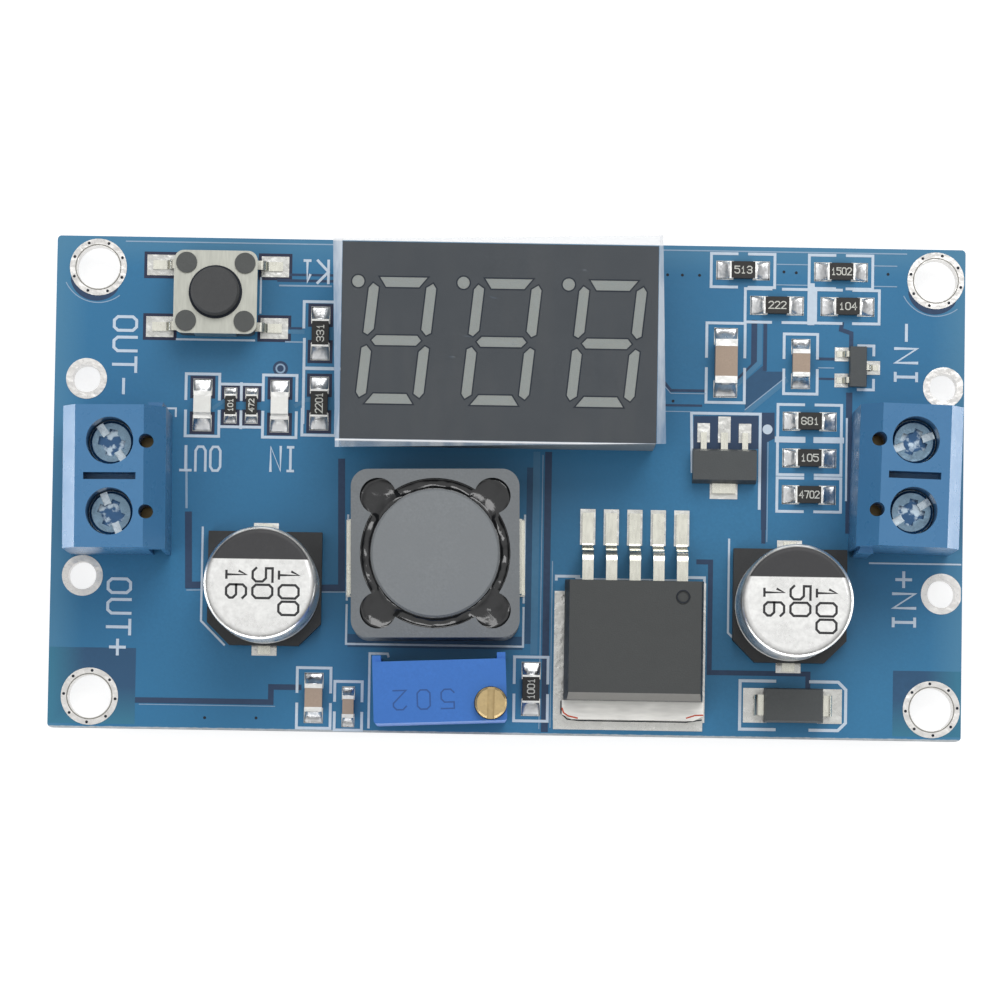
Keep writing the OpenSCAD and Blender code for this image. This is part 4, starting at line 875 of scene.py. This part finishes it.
# dark places between the copper areas, each a little higher than the last
DARK_TOP, DARK_STEP = TONE_TOP + 0.0025, 0.0005
for number, (piece, outline) in enumerate((
        (bare, [(17.07, 8.04), (17.1, 5.81), (17.51, 5.82), (19.92, 8.15), (19.91, 8.78), (18.59, 8.76),
                (18.58, 9.32), (18.24, 9.1)]),
        (gaps, [(18.36, -2.76), (18.74, -2.76), (18.72, 3.61), (19.28, 3.9), (19.25, 5.78), (18.28, 5.76)]),
        (gaps, [(13.35, 3.03), (18.11, 3.11), (18.08, 5.52), (13.4, 5.44)]))):
    piece.prism(outline, LOW, DARK_TOP + number * DARK_STEP)
trace([(20.0, 8.1), (17.3, 5.8)], 0.36)
trace([(18.1, 12.3), (18.1, 9.4), (16.5, 7.8)], 0.36)
bright([(17.1, 5.95), (20.0, 8.35)])
gap([(11.1, 8.0), (11.7, 7.28), (14.2, 7.28)], 0.2)
bright([(11.1, 7.75), (11.7, 7.07), (14.2, 7.07)], 0.06)
gap([(11.2, 6.2), (13.9, 6.2)], 0.16)
bright([(11.2, 5.75), (13.1, 5.75)], 0.06)
gap([(24.05, 12.3), (24.0, 11.9), (24.75, 11.65), (24.75, 10.7)], 0.3)
gap([(24.65, 7.1), (24.7, -2.7)], 0.45)
gap([(22.4, 9.75), (23.6, 9.75)], 0.2)
gap([(22.4, 8.3), (23.6, 8.3)], 0.16)
bright([(22.4, 9.1), (23.5, 9.1)])
gap([(18.55, 3.6), (18.55, -3.6)], 0.3)
bright([(18.8, 3.6), (18.8, -3.6)], 0.06)

# ---- stack of three resistors
stack = front_to_far(b for b in MAIN_RESISTORS if abs(middle(b)[0] - 21.8) < 0.3)
x, y = middle(stack[1])[0], (stack[1][4] + stack[2][1]) / 2
for side in (-1, 1):
    ink([(x + side * 0.5, y), (x + side * 2.3, y)], 0.42)
dots.ring(20.7, 3.85, 0.06, 0.14, TOP, SILK_TOP + 0.004, steps=16)

# ---- small regulator and transistor
x0, _, _, x1, _, _ = box("small_regulator_body")
ink([(x0, 1.4), (x0 - 0.1, 5.65), (x1 + 0.3, 5.65), (x1 + 0.3, -1.2)])
silk.disc(18.75, 4.55, 0.36, LOW, SILK_TOP)
ink([(25.3, 10.75), (26.4, 10.75), (26.4, 10.1)])
ink([(25.3, 7.55), (26.4, 7.55), (26.4, 8.25)])

# ---- regulator
reg = box("regulator_body")
tab_pad = max(PADS, key=lambda b: (b[3] - b[0]) * (b[4] - b[1]))
x, y = tab_pad[0], tab_pad[4]
ink([(x + 0.1, y - 0.3), (x + 0.1, y + 0.35), (reg[0] + 1.0, y + 0.35)])
mask_lip = Piece()
mask_lip.slab(x - 0.05, y - 0.72, reg[0] + 0.9, y + 0.03, LOW, tab_pad[5] + 0.006)
mask_lip.make("mask_over_tab_pad", BOARD, "board")
x = reg[3] + 0.1
ink([(reg[0] + 0.8, y + 0.2), (reg[3] - 1.2, y + 0.2)], 0.1)
ink([(reg[3] - 1.1, y + 0.4), (x, y + 0.4), (x, y - 0.2)])
ink([(x, reg[4] - 1.0), (x, tab_pad[1] + 2.0)], 0.12)
gap([(13.9, -5.15), (14.75, -5.15), (14.75, -13.15), (21.9, -13.15), (21.9, -14.3)], 0.36)
bright([(3.3, -5.3), (3.3, -17.3)])
bare.slab(1.36, -11.3, 2.3, 1.5, LOW, TONE_TOP + 0.0015)
gap([(2.9, 2.4), (2.9, -17.4)], 0.5)
bright([(2.5, 2.4), (2.5, -17.4)], 0.06)
trace([(2.05, 2.4), (2.05, -11.8)], 0.5)

# ---- inductor
shield = box("inductor_shield")
left, right, low = -11.54, 1.26, -11.5
ink([(left, -8.7), (left, low), (right, low), (right, -8.7)], 0.15)
ink([(left, -8.3), (left, -2.2)], 0.15)
ink([(right, -8.3), (right, -2.0)], 0.15)
bare.slab(shield[0] - 0.2, shield[1] - 0.45, shield[3] + 0.3, shield[1] + 0.5, LOW, TONE_TOP + 0.001)

# ---- can capacitors
for name, shift, rise, cut in (("left", 0.0, 0.0, 1.7), ("right", 0.22, 0.4, 1.5)):
    base = box(name + "_capacitor_base")
    a, b = base[0] - 0.5 + shift, base[1] + 1.75 + rise
    ink([(a, base[4] + 0.3 + rise), (a, b), (a + cut, b - cut)], 0.15)

# ---- copper gap round the left capacitor
gap([(-23.11, -2.35), (-23.0, -7.43), (-22.1, -7.41)], 0.5)
gap([(-13.35, -7.49), (-11.93, -7.46), (-12.09, 1.67)], 0.5)
bright([(-23.35, 2.65), (-23.26, -1.78)], 0.16)
bright([(-23.11, -7.79), (-22.09, -7.77)], 0.08)
bright([(-13.41, -7.78), (-11.6, -7.75)], 0.08)
gap([(-26.5, -15.8), (-16.9, -15.8), (-16.9, -14.7), (-14.9, -14.7)], 0.4)
bright([(-26.4, -16.1), (-16.6, -16.1)], 0.05)

# ---- trimmer
trim = box("trimmer_housing")
x, y = trim[0], trim[4]
ink([(x + 1.0, y - 0.1), (x + 0.95, y + 0.08), (x - 0.35, y + 0.08), (x - 0.35, board[1] + 0.35)], 0.17)

# ---- diode
ink([(22.1, -13.7), (24.1, -13.7), (24.65, -14.25), (24.65, -16.65), (24.1, -17.2), (22.1, -17.2)], 0.22)
ink([(19.5, -13.7), (17.0, -13.7), (17.0, -17.2), (19.5, -17.2)], 0.22)

# ---- terminals
x, y = box("left_terminal_housing")[3:5]
ink([(x - 0.6, y + 0.15), (x + 0.12, y + 0.15), (x + 0.12, y - 0.4)], 0.14)
x, y = box("right_terminal_housing")[:2]
ink([(x - 0.18, -0.5), (x - 0.18, 5.4)], 0.14)
ink([(x + 1.6, y - 0.35), (board[3] - 0.15, y - 0.35)], 0.12)

for piece, name, look in (
        (silk, "printed_lines", SILK), (gaps, "copper_gaps", GAP), (bare, "bare_mask_patches", BARE),
        (clear, "pad_clearances", CLEAR), (traces, "traces_under_mask", TRACE), (edges, "copper_edges", EDGE),
        (dots, "small_vias", HOLE_AND_SHADE), (rims, "barrel_edges", RIM)):
    piece.make(name, look, "board")

# ------ solder on the chips' ends


def fillet(piece, pad, end, height, axis, direction):
    """A hollow curve of solder from a chip's end face down to its pad's far edge."""
    rows, other = 8, 1 - axis
    start = end[axis + 3] if direction > 0 else end[axis]
    stop = (pad[axis + 3] - 0.01) if direction > 0 else (pad[axis] + 0.01)
    wide = (pad[other] + 0.01, pad[other + 3] - 0.01)
    narrow = (end[other] + 0.02, end[other + 3] - 0.02)
    points, faces = [], []
    for i in range(rows + 1):
        t = i / rows
        along = start - direction * 0.02 + (stop - start) * t
        rise = height * (1 - t) ** 2.4 + 0.05 * math.sin(math.pi * t) ** 0.7
        a, b = (narrow[k] + (wide[k] - narrow[k]) * t ** 0.4 for k in (0, 1))
        for j in range(rows + 1):
            s = j / rows
            place = [0, 0, pad[5] + rise * (1 - abs(2 * s - 1) ** 3)]
            place[axis], place[other] = along, a + (b - a) * s
            points.append(tuple(place))
    top = len(points)
    points += [(x, y, pad[5] - 0.01) for x, y, _ in points]
    width = rows + 1
    for i in range(rows):
        for j in range(rows):
            a = i * width + j
            faces.append((a, a + 1, a + width + 1, a + width))
            faces.append((top + a, top + a + width, top + a + width + 1, top + a + 1))
    rim = list(range(width)) + [i * width + rows for i in range(1, width)]
    rim += [rows * width + j for j in range(rows - 1, -1, -1)] + [i * width for i in range(rows - 1, 0, -1)]
    for a, b in zip(rim, rim[1:] + rim[:1]):
        faces.append((a, top + a, top + b, b))
    piece.add(points, faces)


fillets = Piece()
for node in ("resistor_ends", "ceramic_capacitor_ends", "led_ends"):
    for end in solids(node):
        cx, cy = middle(end)
        pad = min(PADS, key=lambda b: math.dist(middle(b), (cx, cy)))
        px, py = middle(pad)
        axis = 0 if abs(px - cx) > abs(py - cy) else 1
        direction = 1 if (px - cx, py - cy)[axis] > 0 else -1
        fillet(fillets, pad, end, (end[5] - pad[5]) * 0.75, axis, direction)
fillets.make("solder_fillets", SOLDER, "solder", smooth=True)

# ------ numbers on the parts

CHIP_CODES = ("101", "472", "2201", "331", "1001", "513", "222", "4702", "105", "681", "1502", "104")
CODE_PITCH, CODE_W, CODE_H, SMALL_CODE_H, CODE_MARGIN = 5.4, 0.075, 0.5, 0.36, 0.3
# the black coat reaches over the solder ends by a share of the chip's length, and is a little narrower
COAT_REACH, COAT_UP, COAT_INSET = 0.115, 0.008, 0.02
chip_print = Piece()
coats = Piece()
for body, code in zip(RESISTORS, CHIP_CODES):
    length, upright = long_side(body), body[4] - body[1] > body[3] - body[0]
    reach = COAT_REACH * length
    caps = max(b[5] for b in near(solids("resistor_ends"), middle(body), length))
    coat_top = max(body[5], caps) + COAT_UP
    x, y = (-COAT_INSET, reach) if upright else (reach, -COAT_INSET)
    coats.slab(body[0] - x, body[1] - y, body[3] + x, body[4] + y, body[5] - CUT_SUNK, coat_top)
    height = CODE_H if length > RESISTOR_LONG else SMALL_CODE_H
    squeeze = min(1.0, (length + 2 * reach - CODE_MARGIN) / word_length(code, height, CODE_PITCH))
    letters(chip_print, code, middle(body), height, 90 if upright else 0, CODE_W, body[5] - PRINT_SUNK,
            coat_top + PRINT_UP, CODE_PITCH, squeeze)
coats.make("resistor_coats", GLASS, "resistor_glass")
chip_print.make("resistor_numbers", WHITE_PRINT, "resistor_glass")

# rows of digits on the cans, from the first row's place beside the can's middle
CAN_NUMBERS, CAN_ROW_X, CAN_ROW_Y, CAN_ROW_STEP = ("100", "50", "16"), 1.35, 1.0, 1.85
can_marks = Piece()
for name in ("left", "right"):
    can = box(name + "_capacitor_can")
    x, y = middle(can)
    for row, digits in enumerate(CAN_NUMBERS):
        place = (x + CAN_ROW_X - row * CAN_ROW_STEP, y + CAN_ROW_Y)
        letters(can_marks, digits, place, 1.4, -90, 0.17, *printed_on(can[5]), 5.0, mid=False)
can_marks.make("capacitor_marks", DARK_PRINT, "can_aluminium")

trimmer_mark = Piece()
x, y = middle(trim)
letters(trimmer_mark, "502", (x - 1.1, y - 0.85), 1.35, 182.5, 0.1, *printed_on(trim[5]), 7.5)
trimmer_mark.make("trimmer_number", ENGRAVED, "trimmer_plastic")

# ------ switch and regulator touches

# shade round the switch's button, and round the regulator's pin-one dimple
marks = Piece()
DIMPLE = (12.62, -7.89)
marks.ring(*middle(box("switch_button")), 1.74, 1.93, *printed_on(cover[5], CUT_SUNK), steps=64)
marks.ring(*DIMPLE, 0.4, 0.48, *printed_on(reg[5], CUT_SUNK), steps=32)
marks.make("shadow_rings", HOLE_AND_SHADE, "black_plastic")

tab = box("regulator_tab")
x0, x1, y = tab[0], tab[3], tab[1]
tab_solder = Piece()
tab_solder.slab(tab_pad[0] + 0.02, tab_pad[1] - 0.62, x1 - 0.02, tab_pad[1] + 0.3, LOW, TOP + 0.06)
tab_solder.make("tab_solder", PAD, "solder")
cut = Piece()
cut.line([(x0 + 0.02, y + 0.75), (x0 + 0.12, y + 0.45), (x0 + 0.45, y + 0.22), (x0 + 1.1, y + 0.08)], 0.11,
         *printed_on(tab[5], CUT_SUNK))
cut.line([(x1 - 0.05, y + 0.42), (x1 - 0.6, y + 0.4), (x1 - 1.2, y + 0.2)], 0.1,
         *printed_on(tab[5], CUT_SUNK))
cut.make("copper_cuts", COPPER_CUT, "tin")
shade_line = Piece()
shade_line.line([(x0 - 0.06, y + 1.3), (x0 - 0.04, y + 0.45), (x0 + 0.4, y + 0.02), (x0 + 1.3, y - 0.07),
                 (x1 - 1.2, y - 0.07), (x1 - 0.1, y + 0.1)], 0.09, LOW, TOP + 0.075)
shade_line.make("shadow_under_tab", HOLE_AND_SHADE, "solder")

# ------ inductor: glue that has flowed and set


def glue_piece():
    """The CAD ring of glue with its real surface: it climbs both walls and lies in lumps between them."""
    drum, glue = box("inductor_drum"), box("inductor_glue")
    (x, y), core = middle(drum), (drum[3] - drum[0]) / 2
    low, high = glue[2], glue[5]
    turns, rows = 180, 9
    reach = [core] * turns
    for island in islands("inductor_glue"):
        for px, py, _ in island:
            turn = int(math.degrees(math.atan2(py - y, px - x)) % 360 / 360 * turns)
            reach[turn] = max(reach[turn], math.hypot(px - x, py - y))
    # a turn that no corner of the ring fell in takes the smaller reach of its next neighbours
    hole = min(r for r in reach if r > core + 0.3)
    for i in range(turns):
        if reach[i] < hole:
            ways = ([reach[(i + s * k) % turns] for k in range(1, turns)] for s in (1, -1))
            reach[i] = min(next(r for r in way if r >= hole) for way in ways)
    points, faces = [], []
    for i in range(turns):
        t = 2 * math.pi * (i + 0.5) / turns
        for j in range(rows):
            s = j / (rows - 1)
            r = core - 0.02 + (reach[i] - core + 0.01) * s
            px, py = x + r * math.cos(t), y + r * math.sin(t)
            climb = 0.22 * (abs(2 * s - 1)) ** 3
            lump = noise.noise((px * 0.7, py * 0.7, 1.7)) * 0.22
            lump += noise.noise((px * 2.1, py * 2.1, 4.0)) * 0.08
            points.append((px, py, min(high + 0.16, high - 0.2 + climb + lump)))
        for j in (rows - 1, 0):
            px, py, _ = points[i * (rows + 2) + j]
            points.append((px, py, low))
    wide = rows + 2
    for i in range(turns):
        a, b = i * wide, (i + 1) % turns * wide
        for j in range(wide):
            k = (j + 1) % wide
            faces.append((a + j, b + j, b + k, a + k))
    piece = Piece()
    piece.add(points, faces)
    made = piece.make("set_glue", GLUE, "glue", smooth=True)
    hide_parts("inductor_glue")


glue_piece()

# ------ display: dark lines round the segments, painted shade of the recesses they sit in

segment_shade = Piece()
face_z = box("display_housing")[5]


def hull(points):
    """The convex outline of some points in plan, counterclockwise."""
    points = sorted(set((round(x, 4), round(y, 4)) for x, y in points))

    def half(run):
        out = []
        for p in run:
            while len(out) > 1 and ((out[-1][0] - out[-2][0]) * (p[1] - out[-2][1])
                                    - (out[-1][1] - out[-2][1]) * (p[0] - out[-2][0])) <= 0:
                out.pop()
            out.append(p)
        return out[:-1]

    return half(points) + half(points[::-1])


# width and height of the painted shade lines round the segments
SHADE_W, SHADE_UP = 0.1, 0.004
for island in islands("display_segments"):
    front = [p[:2] for p in island if p[2] > face_z - 0.01]
    if len(front) > 2:
        segment_shade.line(hull(front), SHADE_W, face_z - 0.05, face_z + SHADE_UP, closed=True)
segment_shade.make("segment_joints", HOLE_AND_SHADE, "display_plastic")

# ------ stage, lamps and camera

scene = bpy.context.scene
scene.view_settings.view_transform = "Standard"


# how brightly the floor shines by itself, and the studio's light on matt faces and, low to high, in gloss
FLOOR_HALF, FLOOR_GLOW = 2.0, 0.78
WORLD_LEVEL, SKY_LOW, SKY_HIGH = 0.48, 0.2, 0.78


def floor_look():
    """Pale and matt, and shining for rays that reach the eye straight, by gloss or through glass."""
    look = Look("pale_floor", Roughness=0.9)
    look.colour(look.varied(rgb(176, 176, 176), 0.01, 300, 8))
    rays = look.node("ShaderNodeLightPath").outputs
    seen = look.most(look.most(rays["Is Camera Ray"], rays["Is Glossy Ray"]), rays["Is Transmission Ray"])
    look.put("Emission Color", (1, 1, 1, 1))
    look.put("Emission Strength", look.times(seen, FLOOR_GLOW))
    return look


mesh = bpy.data.meshes.new("floor")
mesh.from_pydata([(x * FLOOR_HALF, y * FLOOR_HALF, 0) for x, y in ((-1, -1), (1, -1), (1, 1), (-1, 1))], [],
                 [(0, 1, 2, 3)])
mesh.materials.append(floor_look().material)
floor = bpy.data.objects.new("floor", mesh)
scene.collection.objects.link(floor)


def studio_world():
    """A white studio: plain for the eye, and for gloss bright overhead and dim towards the horizon."""
    scene.world = bpy.data.worlds.new("studio")
    sky = Graph(scene.world)
    light = sky.tree.nodes["Background"].inputs
    light["Color"].default_value = (1, 1, 1, 1)
    up = sky.part_of(sky.node("ShaderNodeTexCoord").outputs["Generated"], "Z")
    rays = sky.node("ShaderNodeLightPath").outputs
    plain = sky.ramp(rays["Is Camera Ray"], 0, 1, WORLD_LEVEL, 1.0)
    glass = sky.ramp(rays["Is Transmission Ray"], 0, 1, plain, 1.0)
    overhead = sky.ramp(up, 0.3, 0.9, SKY_LOW, SKY_HIGH)
    sky.link(sky.ramp(rays["Is Glossy Ray"], 0, 1, glass, overhead), light["Strength"])


studio_world()


def lamp(name, place, size, power, aim=(0, 0, 0), glossy=True):
    light = bpy.data.lights.new(name, "AREA")
    light.shape = "RECTANGLE"
    light.size, light.size_y = size
    light.energy = power
    thing = bpy.data.objects.new(name, light)
    thing.location = place
    thing.rotation_euler = (Vector(aim) - Vector(place)).to_track_quat("-Z", "Y").to_euler()
    thing.visible_camera = False
    thing.visible_glossy = glossy
    scene.collection.objects.link(thing)


lamp("key_lamp", (0.12, 0.42, 0.62), (0.45, 0.45), 2.4)
lamp("fill_lamp", (-0.35, -0.15, 0.7), (0.6, 0.6), 1.5, glossy=False)
# cards that glow up from the floor beside the part, as a lit table does
GLOW_H, GLOW_POWER, GLOW_AREA = 0.002, 0.036, 0.002
for name, place, size in (("left_card", (-0.068, 0), (0.04, 0.05)), ("right_card", (0.068, 0), (0.04, 0.05)),
                          ("front_card", (0, -0.06), (0.09, 0.04))):
    lamp(name, (*place, GLOW_H), size, GLOW_POWER * size[0] * size[1] / GLOW_AREA, (*place, 1.0))

# the photograph's own camera, as fitted to the board and the cans
camera_data = bpy.data.cameras.new("camera")
camera_data.lens = 187.53
camera_data.sensor_width = 36
camera_data.clip_start = 0.01
camera = bpy.data.objects.new("camera", camera_data)
camera.location = (-0.00249, -0.02549, 0.37987)
camera.rotation_euler = tuple(math.radians(a) for a in (3.722, -0.357, 0.915))
scene.collection.objects.link(camera)
scene.camera = camera
